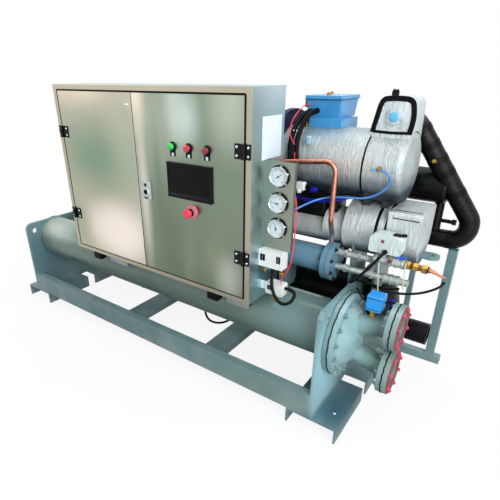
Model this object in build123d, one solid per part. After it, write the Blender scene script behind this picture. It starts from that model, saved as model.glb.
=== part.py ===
from build123d import *
import math
import os

# Water-cooled screw chiller on a steel skid, millimetres.
# x runs along the skid (right end with the water nozzles at +x), y to the rear, z up from the floor.
# Sizes below are measured from the floor, midway between the end plates and their front and rear edges.
# Each piece is then moved so that the origin is on the floor under the middle of the whole machine.

# skid
PLATE_X = 1065.0        # outer face of each end plate
PLATE_T = 20.0
FRAME_Y = 397.0         # half depth of the end plates
FOOT_W, FOOT_H, FOOT_T = 240.0, 78.0, 8.0
FOOT_GAP_Y = (-70.0, -12.0)   # gap between a front foot and a rear foot
BEAM_H, BEAM_D, TUBE_T = 120.0, 40.0, 4.0
CROSS_X = (-190.0, 425.0)
LEFT_TOP, RIGHT_TOP = 555.0, 610.0
POST = 40.0
POST_X, POST_Y, POST_TOP = 1372.0, 357.0, 706.0
THIN_POST_X, THIN_POST = 1215.0, 25.0
SILL_END_X = POST_X + 52.0
ANCHOR_Y = 300.0        # anchor bolts, front and rear, from the middle of the skid
ANCHOR_R = 9.0

# condenser, front and low
CON_Y, CON_Z, CON_R, CON_T = -188.0, 425.0, 130.0, 8.0
HEAD_R = 184.0
SHEET_T, HEAD_FLANGE_T = 22.0, 22.0
NOZ_DZ_HEAD, NOZ_DZ = 62.0, 106.0
NOZ_R, NOZ_T = 44.5, 5.0
NOZ_FLANGE_X = 1291.0   # sealing face of the nozzle flanges
NOZ_FLANGE_R, NOZ_FLANGE_T = 97.0, 20.0
COVER_T = 20.0          # counter flange
GASKET_T = 4.0

# evaporator, rear and low, black foam outside
EVA_Y, EVA_Z, EVA_R, EVA_T = 190.0, 405.0, 150.0, 30.0

# oil separator and compressor, one above the other
AXIS_Y = 100.0
SEP_Z, SEP_R, SEP_T = 826.0, 118.0, 8.0
SEP_X = (985.0, 1268.0)
SEP_COVER_X, SEP_END_T = 1150.0, 14.0   # the square-topped cover on its right end
NECK_DZ, NECK_R = 36.0, 72.0
COMP_Z, COMP_R = 1100.0, 146.0
COMP_X = (640.0, 1180.0)
MOTOR_X, MOTOR_R = 380.0, 196.0
MOTOR_FLANGE_R, MOTOR_FLANGE_T = 212.0, 28.0
HOOD_X, HOOD_Y, HOOD_H = (1022.0, 1174.0), (20.0, 196.0), 126.0

# control cabinet
CAB_X = (-436.0, 744.0)
CAB_Y = (-425.0, -191.0)
CAB_FOOT, CAB_H = 4.0, 857.0     # clearance over the condenser, height
CAB_Z = (CON_Z + CON_R + CAB_FOOT, CON_Z + CON_R + CAB_FOOT + CAB_H)
SHEET = 2.0
DOOR_T = 22.0
DOOR_MARGIN_TOP, DOOR_MARGIN_SIDE, DOOR_MARGIN_BOTTOM = 26.0, 29.0, 22.0
DOOR_SPLIT_X = 125.0
DOOR_GAP = 4.0
HINGE_H, HINGE_R, HINGE_LEAF, HINGE_LEAF_T = 56.0, 7.0, 44.0, 4.0
HINGE_Z = (CAB_Z[0] + 207, CAB_Z[0] + 635)
LOCK_R = 12.0
LOCK_X, LOCK_Z = DOOR_SPLIT_X + 53.5, CAB_Z[0] + 409
LIGHT_X = (353.0, 441.0, 536.0)
STOP_X, STOP_Z = 447.0, CAB_Z[0] + 360
DISPLAY_X, DISPLAY_H = (318.0, 561.0), 151.0
GAUGE_X, GAUGE_Z = 812.0, [CAB_Z[0] + dz for dz in (334, 437, 541)]

# suction side
PIPE_R, ELBOW_X, ELBOW_TOP = 42.0, POST_X + 37.0, 852.0
HEADER_Y, HEADER_Z, HEADER_R = 352.0, 990.0, 76.0
HEADER_X = (760.0, ELBOW_X - 109.0)

EVA_X, EVA_DISH = 1140.0, 70.0
STOP_REACH = 44.0       # how far the stop button stands out of the door

FIT = 0.3               # clearance round curved faces

# middle of the machine's extents
MID_X = (ELBOW_X + PIPE_R - EVA_X - EVA_DISH) / 2
MID_Y = (CAB_Y[0] - STOP_REACH + HEADER_Y + HEADER_R) / 2

os.makedirs("parts", exist_ok=True)


def save(name, *solids):
    moved = [Pos(-MID_X, -MID_Y, 0) * solid for solid in solids]
    shape = moved[0] if len(moved) == 1 else Compound(children=moved)
    export_step(shape, f"parts/{name}.step")


def box(x0, x1, y0, y1, z0, z1):
    return Pos((x0 + x1) / 2, (y0 + y1) / 2, (z0 + z1) / 2) * Box(x1 - x0, y1 - y0, z1 - z0)


def rod_x(x0, x1, y, z, r):
    return Pos((x0 + x1) / 2, y, z) * Rot(0, 90, 0) * Cylinder(r, x1 - x0)


def rod_y(y0, y1, x, z, r):
    return Pos(x, (y0 + y1) / 2, z) * Rot(90, 0, 0) * Cylinder(r, y1 - y0)


def rod_z(z0, z1, x, y, r):
    return Pos(x, y, (z0 + z1) / 2) * Cylinder(r, z1 - z0)


def rod(a, b, r):
    d = Vector(*b) - Vector(*a)
    return Solid.extrude(Face(Wire.make_circle(r, Plane(a, z_dir=d))), d)


def dish_x(x0, depth, y, z, r, side):
    """A solid dished end: a spherical cap about the x line, bulging to side."""
    rs = (r * r + depth * depth) / (2 * depth)
    half = math.atan2(r, rs - depth) / 2
    mid = (depth - rs + rs * math.cos(half), rs * math.sin(half))
    arc = ThreePointArc((depth, 0), mid, (0, r))
    profile = make_face([Line((0, 0), (depth, 0)), arc, Line((0, r), (0, 0))])
    body = revolve(profile, Axis.X, 360)
    if side < 0:
        body = Rot(0, 0, 180) * body
    return Pos(x0, y, z) * body


def pipe(points, radii, r):
    """A round bar along straight runs joined by tangent arcs."""
    path = FilletPolyline(*points, radius=radii)
    start = path ^ 0
    return sweep(Plane(start.position, z_dir=start.z_axis.direction) * Circle(r), path=path)


def cord(name, points, r):
    """A cable or tube: each bend is as wide as its two runs allow."""
    pts = [Vector(*p) for p in points]
    radii = []
    for a, b, c in zip(pts, pts[1:], pts[2:]):
        turn = math.radians((b - a).get_angle(c - b))
        radii.append(0.45 * min((b - a).length, (c - b).length) / math.tan(turn / 2))
    tube = pipe(points, radii, r)
    print(name, "radii", [round(v) for v in radii], "length", round(tube.volume / (math.pi * r * r)))
    return tube


# skid
def foot(cx, y0, y1):
    outer = box(cx - FOOT_W / 2, cx + FOOT_W / 2, y0, y1, 0, FOOT_H)
    inner = box(cx - FOOT_W / 2 + FOOT_T, cx + FOOT_W / 2 - FOOT_T, y0 - 1, y1 + 1, -1, FOOT_H - FOOT_T)
    body = outer - inner
    ay = -ANCHOR_Y if y0 < -100 else ANCHOR_Y
    for sx in (-1, 1):
        body -= rod_z(0, FOOT_H + 1, cx + sx * (FOOT_W / 2 - 45), ay, ANCHOR_R)
    return body


for side, name in ((-1, "left"), (1, "right")):
    cx = side * (PLATE_X - PLATE_T / 2)
    save(f"{name}_feet", foot(cx, -FRAME_Y, FOOT_GAP_Y[0]), foot(cx, FOOT_GAP_Y[1], FRAME_Y))
    top = RIGHT_TOP if side > 0 else LEFT_TOP
    xa, xb = sorted((side * PLATE_X, side * (PLATE_X - PLATE_T)))
    plate = box(xa, xb, -FRAME_Y, FRAME_Y, FOOT_H, top)
    corner = plate.edges().filter_by(Axis.X).group_by(Axis.Z)[-1]
    plate = chamfer(corner, 24) if side > 0 else fillet(corner, 42)
    plate -= rod_x(xa - 1, xb + 1, CON_Y, CON_Z, CON_R + FIT)
    plate -= rod_x(xa - 1, xb + 1, EVA_Y, EVA_Z, EVA_R + FIT)
    for hy in (-FRAME_Y + 55, FRAME_Y - 55):
        plate -= rod_x(xa - 1, xb + 1, hy, top - 55, 17.5)
    save(f"{name}_end_plate", plate)


def tube_bar(x0, x1, y0, y1, z0, z1, axis):
    t = TUBE_T
    body = box(x0, x1, y0, y1, z0, z1)
    if axis == "x":
        return body - box(x0 - 1, x1 + 1, y0 + t, y1 - t, z0 + t, z1 - t)
    if axis == "y":
        return body - box(x0 + t, x1 - t, y0 - 1, y1 + 1, z0 + t, z1 - t)
    return body - box(x0 + t, x1 - t, y0 + t, y1 - t, z0 - 1, z1 + 1)


inner_x = PLATE_X - PLATE_T
BEAM_Z1 = FOOT_H + BEAM_H
save("side_beams", *[
    tube_bar(-inner_x, inner_x, ya, ya + BEAM_D, FOOT_H, BEAM_Z1, "x") for ya in (-FRAME_Y, FRAME_Y - BEAM_D)])
save("cross_members", *[
    tube_bar(cx - BEAM_H / 2, cx + BEAM_H / 2, -FRAME_Y + BEAM_D, FRAME_Y - BEAM_D,
             FOOT_H, FOOT_H + BEAM_D, "y") for cx in CROSS_X])
sill = tube_bar(PLATE_X, SILL_END_X, POST_Y - POST / 2, POST_Y + POST / 2, FOOT_H, FOOT_H + POST, "x")
for px, w in ((POST_X, POST), (THIN_POST_X, THIN_POST)):
    sill += tube_bar(px - w / 2, px + w / 2, POST_Y - w / 2, POST_Y + w / 2, FOOT_H + POST, POST_TOP, "z")
save("rear_post_frame", sill)

# condenser
sheet_x0 = PLATE_X + 2
sheet_x1 = sheet_x0 + SHEET_T
head_x1 = sheet_x1 + HEAD_FLANGE_T
shell = rod_x(-PLATE_X, sheet_x0, CON_Y, CON_Z, CON_R)
shell -= rod_x(-PLATE_X - 1, sheet_x0 + 1, CON_Y, CON_Z, CON_R - CON_T)
shell += rod_x(sheet_x0, sheet_x1, CON_Y, CON_Z, HEAD_R)
shell += rod_z(CON_Z - CON_R - 26, CON_Z - CON_R + 3, -180, CON_Y, 15)
save("condenser_shell", shell)
left_end = dish_x(-PLATE_X, 58, CON_Y, CON_Z, CON_R, -1)
left_end -= dish_x(-PLATE_X, 50, CON_Y, CON_Z, CON_R - CON_T, -1)
save("condenser_left_end", left_end)

DISH_R, DISH_DEPTH, HEAD_T = 146.0, 62.0, 10.0


def nozzle(side, r, x0, x1):
    a = Vector(sheet_x1 + 10, CON_Y, CON_Z + side * (NOZ_DZ_HEAD - 10))
    b = Vector(NOZ_FLANGE_X, CON_Y, CON_Z + side * NOZ_DZ)
    d = b - a
    a2, b2 = a - d * 0.5, b + d * 0.5
    body = Solid.extrude(Face(Wire.make_circle(r, Plane(a2, z_dir=d))), b2 - a2)
    return body & box(x0, x1, -600, 300, 0, 900)


outer = rod_x(sheet_x1, head_x1, CON_Y, CON_Z, HEAD_R)
outer += dish_x(head_x1, DISH_DEPTH, CON_Y, CON_Z, DISH_R, 1)
flange_x0 = NOZ_FLANGE_X - NOZ_FLANGE_T
for side in (-1, 1):
    outer += nozzle(side, NOZ_R, sheet_x1 + 12, NOZ_FLANGE_X)
    outer += rod_x(flange_x0, NOZ_FLANGE_X, CON_Y, CON_Z + side * NOZ_DZ, NOZ_FLANGE_R)
    outer += rod_x(flange_x0 - 22, flange_x0, CON_Y, CON_Z + side * (NOZ_DZ - 4), NOZ_R + 12)
outer -= rod_x(sheet_x1 - 1, head_x1, CON_Y, CON_Z, DISH_R - HEAD_T)
outer -= dish_x(head_x1 - 0.01, DISH_DEPTH - HEAD_T, CON_Y, CON_Z, DISH_R - HEAD_T, 1)
for side in (-1, 1):
    outer -= nozzle(side, NOZ_R - NOZ_T, sheet_x1 + 13, NOZ_FLANGE_X + 1)
outer += box(sheet_x1, head_x1 + DISH_DEPTH - 8, CON_Y - 120, CON_Y + 120, CON_Z - 5, CON_Z + 5) \
    & (rod_x(sheet_x1, head_x1, CON_Y, CON_Z, DISH_R - HEAD_T + 0.5)
       + dish_x(head_x1 - 0.01, DISH_DEPTH - HEAD_T + 0.5, CON_Y, CON_Z, DISH_R - HEAD_T + 0.5, 1))
save("condenser_water_head", outer)
rings, gaskets = [], []
for side in (1, -1):
    z = CON_Z + side * NOZ_DZ
    ring = rod_x(NOZ_FLANGE_X + GASKET_T, NOZ_FLANGE_X + GASKET_T + COVER_T, CON_Y, z, NOZ_FLANGE_R)
    rings.append(ring - rod_x(NOZ_FLANGE_X, NOZ_FLANGE_X + 60, CON_Y, z, NOZ_R))
    gasket = rod_x(NOZ_FLANGE_X, NOZ_FLANGE_X + GASKET_T, CON_Y, z, 66)
    gaskets.append(gasket - rod_x(NOZ_FLANGE_X - 1, NOZ_FLANGE_X + 5, CON_Y, z, NOZ_R + 1.5))
save("nozzle_counter_flanges", *rings)
save("nozzle_gaskets", *gaskets)

# evaporator
eva = rod_x(-EVA_X, EVA_X, EVA_Y, EVA_Z, EVA_R)
save("evaporator_shell", eva - rod_x(-EVA_X - 1, EVA_X + 1, EVA_Y, EVA_Z, EVA_R - EVA_T))


def evaporator_end(side):
    outer = dish_x(side * EVA_X, EVA_DISH, EVA_Y, EVA_Z, EVA_R, side)
    return outer - dish_x(side * EVA_X, EVA_DISH - EVA_T, EVA_Y, EVA_Z, EVA_R - EVA_T, side)


EVA_NOZ_X, EVA_NOZ_R, EVA_NOZ_BORE = EVA_X + 225, 52.0, 40.0
noz_z = EVA_Z - 85
right_end = evaporator_end(1) + rod_x(EVA_X + 10, EVA_NOZ_X, EVA_Y, noz_z, EVA_NOZ_R)
save("evaporator_right_end", right_end - rod_x(EVA_X + 10, EVA_NOZ_X + 1, EVA_Y, noz_z, EVA_NOZ_BORE))
save("evaporator_left_end", evaporator_end(-1))

# oil separator under the compressor
def sep_cover(x0, x1):
    """The drum's outline with its upper half squared off, as the cover on the right end is."""
    square = box(x0, x1, AXIS_Y - SEP_R, AXIS_Y + SEP_R, SEP_Z, SEP_Z + SEP_R)
    square = fillet(square.edges().filter_by(Axis.X).group_by(Axis.Z)[-1], 12)
    return square + rod_x(x0, x1, AXIS_Y, SEP_Z, SEP_R)


sep = rod_x(SEP_X[0], SEP_X[1], AXIS_Y, SEP_Z, SEP_R) + sep_cover(SEP_COVER_X, SEP_X[1])
sep -= rod_x(SEP_X[0] - 1, SEP_X[1] + 1, AXIS_Y, SEP_Z, SEP_R - SEP_T)
save("oil_separator_shell", sep)
sep_end = SEP_X[1] + SEP_END_T
save("oil_separator_right_end", sep_cover(SEP_X[1], sep_end))
neck = rod_x(COMP_X[0], 855, AXIS_Y, SEP_Z - NECK_DZ, NECK_R) + rod_x(855, 962, AXIS_Y, SEP_Z - 16, 86)
neck += rod_x(962, SEP_X[0], AXIS_Y, SEP_Z, SEP_R)
save("oil_separator_neck", neck)

# saddles that carry the separator and the motor on the evaporator
def saddle(x0, x1, z_lo, z_hi, half, lo, hi):
    body = box(x0, x1, AXIS_Y - half, AXIS_Y + half, z_lo, z_hi)
    for (y, z, r) in (lo, hi):
        body -= rod_x(x0 - 1, x1 + 1, y, z, r)
    return body


FD_Y, FD_Z, FD_R, FD_FLANGE_R = -22.0, 670.0, 62.0, 88.0
FD_X1, FD_FLANGE_T = 910.0, 22.0
FD_END = FD_X1 + 2 * FD_FLANGE_T + 2
low, mid = (EVA_Y, EVA_Z, EVA_R + FIT), (AXIS_Y, SEP_Z, SEP_R + FIT)
stand = box(700, 712, -92, 68, 470, FD_Z - 30)
for y, z, r in ((CON_Y, CON_Z, CON_R), (EVA_Y, EVA_Z, EVA_R), (FD_Y, FD_Z, FD_R)):
    stand -= rod_x(690, 720, y, z, r + FIT)
motor = (AXIS_Y, COMP_Z, MOTOR_R + FIT)
LUG_Z, LUG_T, LUG_R = 738.0, 12.0, 36.0
lug = box(sep_end, sep_end + LUG_R, AXIS_Y - 28, AXIS_Y + 38, LUG_Z, LUG_Z + LUG_T)
lug += rod_z(LUG_Z, LUG_Z + LUG_T, sep_end + LUG_R + 1, AXIS_Y + 5, LUG_R)
lug -= rod_z(LUG_Z - 1, LUG_Z + LUG_T + 1, sep_end + LUG_R + 1, AXIS_Y + 5, 14)
save("vessel_saddles",
     *[saddle(x, x + 12, EVA_Z + 60, SEP_Z - 40, 100, low, mid) for x in (1010, 1122)],
     saddle(470, 482, EVA_Z + 60, COMP_Z - 60, 110, low, motor), stand, lug)

# compressor
body = rod_x(COMP_X[0], COMP_X[1], AXIS_Y, COMP_Z, COMP_R)
body = fillet(body.edges().group_by(Axis.X)[-1], 24)
for fx in (1015, 1095):
    body += box(fx, fx + 34, AXIS_Y - 50, AXIS_Y + 50, SEP_Z + 60, COMP_Z - 60)
save("compressor_body", body - rod_x(SEP_X[0] - 1, SEP_COVER_X, AXIS_Y, SEP_Z, SEP_R + FIT))
housing_x = COMP_X[0] - MOTOR_FLANGE_T
housing = rod_x(MOTOR_X + 40, housing_x, AXIS_Y, COMP_Z, MOTOR_R)
housing += dish_x(MOTOR_X + 40, 40, AXIS_Y, COMP_Z, MOTOR_R, -1)
housing += rod_x(housing_x, COMP_X[0], AXIS_Y, COMP_Z, MOTOR_FLANGE_R)
save("compressor_motor_end", housing)


# terminal box on the compressor, wider at the lid than at its foot
TB_X, TB_Y, TB_H, TB_LID_T, TB_FLARE = (690.0, 858.0), (95.0, 290.0), 76.0, 14.0, 8.0
BASE_X, BASE_Y, BASE_TOP = (722.0, 886.0), (62.0, 235.0), 1278.0
base = box(BASE_X[0], BASE_X[1], BASE_Y[0], BASE_Y[1], COMP_Z + 60, BASE_TOP)
base = fillet(base.edges().filter_by(Axis.Z), 10)
base -= rod_x(BASE_X[0] - 1, BASE_X[1] + 1, AXIS_Y, COMP_Z, COMP_R + FIT)
save("terminal_box_base", base)
tb_w, tb_d = TB_X[1] - TB_X[0], TB_Y[1] - TB_Y[0]
tb_mid = ((TB_X[0] + TB_X[1]) / 2, (TB_Y[0] + TB_Y[1]) / 2)
lid_z = BASE_TOP + TB_H
foot_face = Pos(*tb_mid, BASE_TOP) * RectangleRounded(tb_w - 2 * TB_FLARE, tb_d - 2 * TB_FLARE, 6)
top_face = Pos(*tb_mid, lid_z) * RectangleRounded(tb_w, tb_d, 6)
tb = loft([foot_face, top_face])
tb += extrude(Pos(*tb_mid, lid_z) * RectangleRounded(tb_w + 10, tb_d + 10, 9), TB_LID_T)
save("terminal_box", tb)

# suction valve hood on the compressor's right end
HOOD_TOP = COMP_Z + COMP_R + HOOD_H
hood_profile = Plane.XZ * make_face(Polyline(
    (HOOD_X[0], COMP_Z + 70), (HOOD_X[1], COMP_Z + 70), (HOOD_X[1] - 4, HOOD_TOP), (HOOD_X[0] + 28, HOOD_TOP),
    (HOOD_X[0] + 4, COMP_Z + COMP_R), close=True))
hood = Pos(0, HOOD_Y[1], 0) * extrude(hood_profile, HOOD_Y[1] - HOOD_Y[0])
hood = fillet(hood.edges().filter_by(Axis.Y).group_by(Axis.Z)[-1], 26)
hood -= rod_x(HOOD_X[0] - 10, HOOD_X[1] + 10, AXIS_Y, COMP_Z, COMP_R + FIT)
hood += rod_z(HOOD_TOP - 1, HOOD_TOP + 30, HOOD_X[0] + 62, HOOD_Y[0] + 40, 10)
save("suction_valve_hood", hood & box(HOOD_X[0], HOOD_X[1], HOOD_Y[0], HOOD_Y[1], COMP_Z, HOOD_TOP + 60))
save("suction_valve_cap", rod_y(HOOD_Y[0] - 14, HOOD_Y[0], HOOD_X[0] + 84, HOOD_TOP - 70, 27))

# corrugated conduits from the terminal box down behind the copper pipe to the cabinet's back
conduits = []
for dx, dz in ((0, 0), (30, 4)):
    run = [(716 + dx, TB_Y[0] + 20, 1302 + dz), (714 + dx, 44, 1300 + dz), (701 + dx, 0, 1262 + dz),
           (698 + dx, -46, 1200), (708 + dx, -64, 1130), (712 + dx, -66, 1050), (702 + dx, -104, 1000 - dz),
           (692 + dx, -154, 988 - dz), (692 + dx, CAB_Y[1], 988 - dz)]
    conduits.append(pipe(run, [24, 50, 60, 90, 90, 45, 35], 12) - tb)
save("motor_conduits", *conduits)

# suction pipes, black foam outside
low_z, low_y = POST_TOP + PIPE_R + FIT, POST_Y
hood_pipe_x, hood_pipe_z = HOOD_X[1] - 47, HOOD_TOP - 94
suction_run = [(hood_pipe_x, HOOD_Y[1], hood_pipe_z), (hood_pipe_x, HOOD_Y[1] + 66, hood_pipe_z),
               (ELBOW_X, low_y, ELBOW_TOP), (ELBOW_X, low_y, low_z), (950, low_y, low_z),
               (885, EVA_Y + 20, EVA_Z + 285), (880, EVA_Y, EVA_Z + EVA_R - 10)]
suction_bends = [70, 70, 70, 70, 50]
save("suction_pipe", pipe(suction_run, suction_bends, PIPE_R) - rod_x(700, 1000, EVA_Y, EVA_Z, EVA_R + FIT))
header = rod_x(*HEADER_X, HEADER_Y, HEADER_Z, HEADER_R)
header = fillet(header.edges().group_by(Axis.X)[-1], 14)
header += dish_x(HEADER_X[0], 24, HEADER_Y, HEADER_Z, HEADER_R, -1)
leg_x = HEADER_X[1] - 28
header += rod_z(low_z, HEADER_Z, leg_x, low_y, 22) + rod_x(leg_x, leg_x + 72, low_y, 832, 9)
header += rod_x(leg_x + 66, leg_x + 84, low_y, 832, 13)
save("suction_header", header - pipe(suction_run, suction_bends, PIPE_R + FIT))

# control cabinet
x0, x1 = CAB_X
y0, y1 = CAB_Y
z0, z1 = CAB_Z
wrap = box(x0, x1, y0, y1, z0, z1) - box(x0 + SHEET, x1 - SHEET, y0 - 1, y1 + 1, z0 + SHEET, z1 - SHEET)
save("cabinet_shell", wrap)
ix0, ix1, iz0, iz1 = x0 + SHEET, x1 - SHEET, z0 + SHEET, z1 - SHEET
save("cabinet_back_panel", box(ix0, ix1, y1 - SHEET, y1, iz0, iz1))
open_x = (x0 + DOOR_MARGIN_SIDE, x1 - DOOR_MARGIN_SIDE)
open_z = (z0 + DOOR_MARGIN_BOTTOM, z1 - DOOR_MARGIN_TOP)
frame = box(ix0, ix1, y0, y0 + SHEET, iz0, iz1)
frame += box(open_x[0] - SHEET, open_x[1] + SHEET, y0, y0 + DOOR_T, open_z[0] - SHEET, open_z[1] + SHEET)
frame -= box(open_x[0], open_x[1], y0 - 1, y0 + DOOR_T + 1, open_z[0], open_z[1])
save("cabinet_front_frame", frame)
plate_y = y1 - 26.0
mount = box(ix0 + 60, ix1 - 60, plate_y - 2.5, plate_y, iz0 + 60, iz1 - 60)
for px in (ix0 + 90, ix1 - 90):
    for pz in (iz0 + 90, iz1 - 90):
        mount += rod_y(plate_y - 1, y1 - SHEET, px, pz, 6)
save("mounting_plate", mount)

gap = DOOR_GAP / 2
door_z = (open_z[0] + gap, open_z[1] - gap)
left_door = box(open_x[0] + gap, DOOR_SPLIT_X - gap, y0, y0 + DOOR_T, door_z[0], door_z[1])
right_door = box(DOOR_SPLIT_X + gap, open_x[1] - gap, y0, y0 + DOOR_T, door_z[0], door_z[1])
save("left_door", left_door)
save("right_door", right_door)

# surface hinges: the lower knuckle and its leaf on the frame, the upper ones on the door
hinge_y = y0 - HINGE_LEAF_T - HINGE_R + 3.0
frame_leaves = []
for side, ax, name in ((-1, open_x[0] + gap / 2, "left"), (1, open_x[1] - gap / 2, "right")):
    leaves = []
    for zc in HINGE_Z:
        za, zb = zc - HINGE_H / 2, zc + HINGE_H / 2
        def plate_x(sgn, length):
            a, b = sorted((ax + sgn * 1.5, ax + sgn * length))
            return box(a, b, y0 - HINGE_LEAF_T, y0, za, zb)
        fixed = plate_x(side, 27) + rod_z(za, zc - 0.5, ax, hinge_y, HINGE_R)
        fixed -= rod_z(zc - 0.5, zb + 1, ax, hinge_y, HINGE_R + 0.6)
        moving = plate_x(-side, HINGE_LEAF) + rod_z(zc + 0.5, zb, ax, hinge_y, HINGE_R)
        moving -= rod_z(za - 1, zc + 0.5, ax, hinge_y, HINGE_R + 0.6)
        frame_leaves.append(fixed)
        leaves.append(moving)
    save(f"{name}_door_hinges", *leaves)
save("frame_hinges", *frame_leaves)

# things on the right door
def face_box(xa, xb, za, zb, t, r):
    body = box(xa, xb, y0 - t, y0, za, zb)
    return fillet(body.edges().filter_by(Axis.Y), r)


lock = face_box(LOCK_X - 24.5, LOCK_X + 24.5, LOCK_Z - 37, LOCK_Z + 48, 9, 8)
save("door_lock", lock - rod_y(y0 - 20, y0 - 4, LOCK_X, LOCK_Z, LOCK_R + FIT))
save("lock_barrel", rod_y(y0 - 11, y0 - 4, LOCK_X, LOCK_Z, LOCK_R)
     - box(LOCK_X - 1.2, LOCK_X + 1.2, y0 - 12, y0 - 8, LOCK_Z - 6, LOCK_Z + 6))
display_z = STOP_Z + 51
light_z = display_z + DISPLAY_H + 63
save("display_panel", face_box(*DISPLAY_X, display_z, display_z + DISPLAY_H, 7, 5))
save("pilot_lights", *[rod_y(y0 - 6, y0, x, light_z, 17) + rod_y(y0 - 18, y0 - 5, x, light_z, 14)
                       for x in LIGHT_X])
save("stop_button_collar", rod_y(y0 - 5, y0, STOP_X, STOP_Z, 30) + rod_y(y0 - 22, y0 - 4, STOP_X, STOP_Z, 14)
     - rod_y(y0 - 30, y0 - 8, STOP_X, STOP_Z, 8 + FIT))
stop = rod_y(y0 - STOP_REACH, y0 - 29, STOP_X, STOP_Z, 20)
stop = fillet(stop.edges().group_by(Axis.Y)[0], 6)
save("stop_button", stop + rod_y(y0 - 30, y0 - 14, STOP_X, STOP_Z, 8))

# cabinet supports on the condenser
supports, pads = [], []
for xa, xb in ((-335, -120), (495, 690)):
    sup = box(xa, xb, y0 + 25, y1 - 10, z0 - 8, z0)
    sup += box(xa + 72, xb, -346, -338, z0 - 78, z0 - 4)
    sup += box(xa + 72, xb, -346, -262, z0 - 78, z0 - 70)
    supports.append(sup - rod_x(xa - 1, xb + 1, CON_Y, CON_Z, CON_R + FIT))
    pads.append(box(xa, xa + 58, y0 + 25, y0 + 65, z0 - 56, z0 - 8))
save("cabinet_supports", *supports)
save("support_pads", *pads)

# gauge panel beside the cabinet
PANEL_X, PANEL_Y, PANEL_Z = (x1, x1 + 131), -330.0, (z0 + 243, z0 + 597)
panel = box(PANEL_X[0], PANEL_X[1], PANEL_Y, PANEL_Y + 2, *PANEL_Z)
panel += box(PANEL_X[0], PANEL_X[0] + 2, PANEL_Y, PANEL_Y + 42, *PANEL_Z)
panel += box(PANEL_X[1] - 2, PANEL_X[1], PANEL_Y, PANEL_Y + 18, *PANEL_Z)
save("gauge_panel", panel)
save("pressure_gauges", *[
    rod_y(PANEL_Y - 5, PANEL_Y, GAUGE_X, z, 43) + rod_y(PANEL_Y - 15, PANEL_Y - 4, GAUGE_X, z, 38)
    - rod_y(PANEL_Y - 16, PANEL_Y - 12, GAUGE_X, z, 34) for z in GAUGE_Z])
upper_sw = box(x1, x1 + 113, -355, -312, z0 + 163, z0 + 239)
upper_sw = fillet(upper_sw.edges().filter_by(Axis.Y), 4)
lower_sw = box(x1 + 32, x1 + 114, -345, -302, z0 + 37, z0 + 91)
lower_sw = fillet(lower_sw.edges().filter_by(Axis.Y), 4)
bracket = box(x1, x1 + 32, -330, -327, z0 + 45, z0 + 83)
save("pressure_switches", upper_sw, lower_sw + bracket)

# liquid line: filter drier, valves and pipes
drier = rod_x(655, FD_X1, FD_Y, FD_Z, FD_R) + rod_x(FD_X1, FD_X1 + FD_FLANGE_T, FD_Y, FD_Z, FD_FLANGE_R)
drier += rod_x(FD_END - FD_FLANGE_T, FD_END, FD_Y, FD_Z, FD_FLANGE_R)
drier += rod_x(FD_X1, FD_END, FD_Y, FD_Z, FD_R)
save("filter_drier", drier)
V_Y, V_Z, V_R = -50.0, 745.0, 18.0
line_z = FD_Z + 52
upper = rod_x(FD_END, 1112, FD_Y, line_z, 15) + rod((1106, FD_Y, line_z), (1136, V_Y, V_Z), 13)
upper += rod_x(1128, 1255, V_Y, V_Z, V_R) + rod_z(V_Z, V_Z + 45, 1165, V_Y, 14)
upper += rod_x(1190, 1200, V_Y, V_Z, V_R + 5) + rod_x(1243, 1255, V_Y, V_Z, V_R + 3)
save("liquid_lines", upper, rod_x(FD_END, 1275, FD_Y, FD_Z - 18, 15) + rod_x(1170, 1240, FD_Y, FD_Z - 18, 21))


def hexagon_x(x0, x1, y, z, r):
    return Pos(x0, y, z) * Rot(0, 90, 0) * extrude(RegularPolygon(r, 6), x1 - x0)


valve = rod_x(1255, 1352, V_Y, V_Z, 11)
for xa, xb, r in ((1258, 1276, 18), (1288, 1306, 17), (1322, 1342, 19)):
    valve += hexagon_x(xa, xb, V_Y, V_Z, r)
save("expansion_valve", valve)
act = box(1112, 1239, -98, -28, V_Z + 45, V_Z + 121)
act = fillet(act.edges().filter_by(Axis.Y).group_by(Axis.Z)[-1], 22)
act = fillet(act.edges().filter_by(Axis.Y).group_by(Axis.Z)[0], 8)
save("valve_actuator", act)
handle_z = V_Z + V_R + FIT
save("valve_handle", box(1217, 1257, V_Y - 7, V_Y + 7, handle_z + 4, handle_z + 12)
     + rod_z(handle_z, handle_z + 6, 1222, V_Y, 6))
cu_y = -94.0
cu_x, cu_top = FD_X1 + FD_FLANGE_T / 2, FD_Z + FD_FLANGE_R + FIT
copper_run = [(COMP_X[0] - 10, cu_y, COMP_Z), (cu_x + 16, cu_y, COMP_Z + 33), (cu_x + 16, cu_y, 882),
              (cu_x, FD_Y, cu_top + 44), (cu_x, FD_Y, cu_top)]
save("copper_pipe", pipe(copper_run, [45, 40, 30], 11) - housing)

# flow switch on the upper water nozzle
FS_X, FS_Y, FS_Z = (1170.0, 1233.0), (-222.0, -155.0), (588.0, 652.0)
switch = box(*FS_X, *FS_Y, *FS_Z)
switch = fillet(switch.edges().filter_by(Axis.Z), 5)
save("flow_switch", fillet(switch.edges().group_by(Axis.Z)[-1], 4))
stem = rod_z(520, FS_Z[0], 1195, CON_Y, 13) + rod_z(FS_Z[0] - 12, FS_Z[0], 1195, CON_Y, 20)
save("flow_switch_base", stem - nozzle(1, NOZ_R + FIT, sheet_x1 + 12, NOZ_FLANGE_X))

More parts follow.
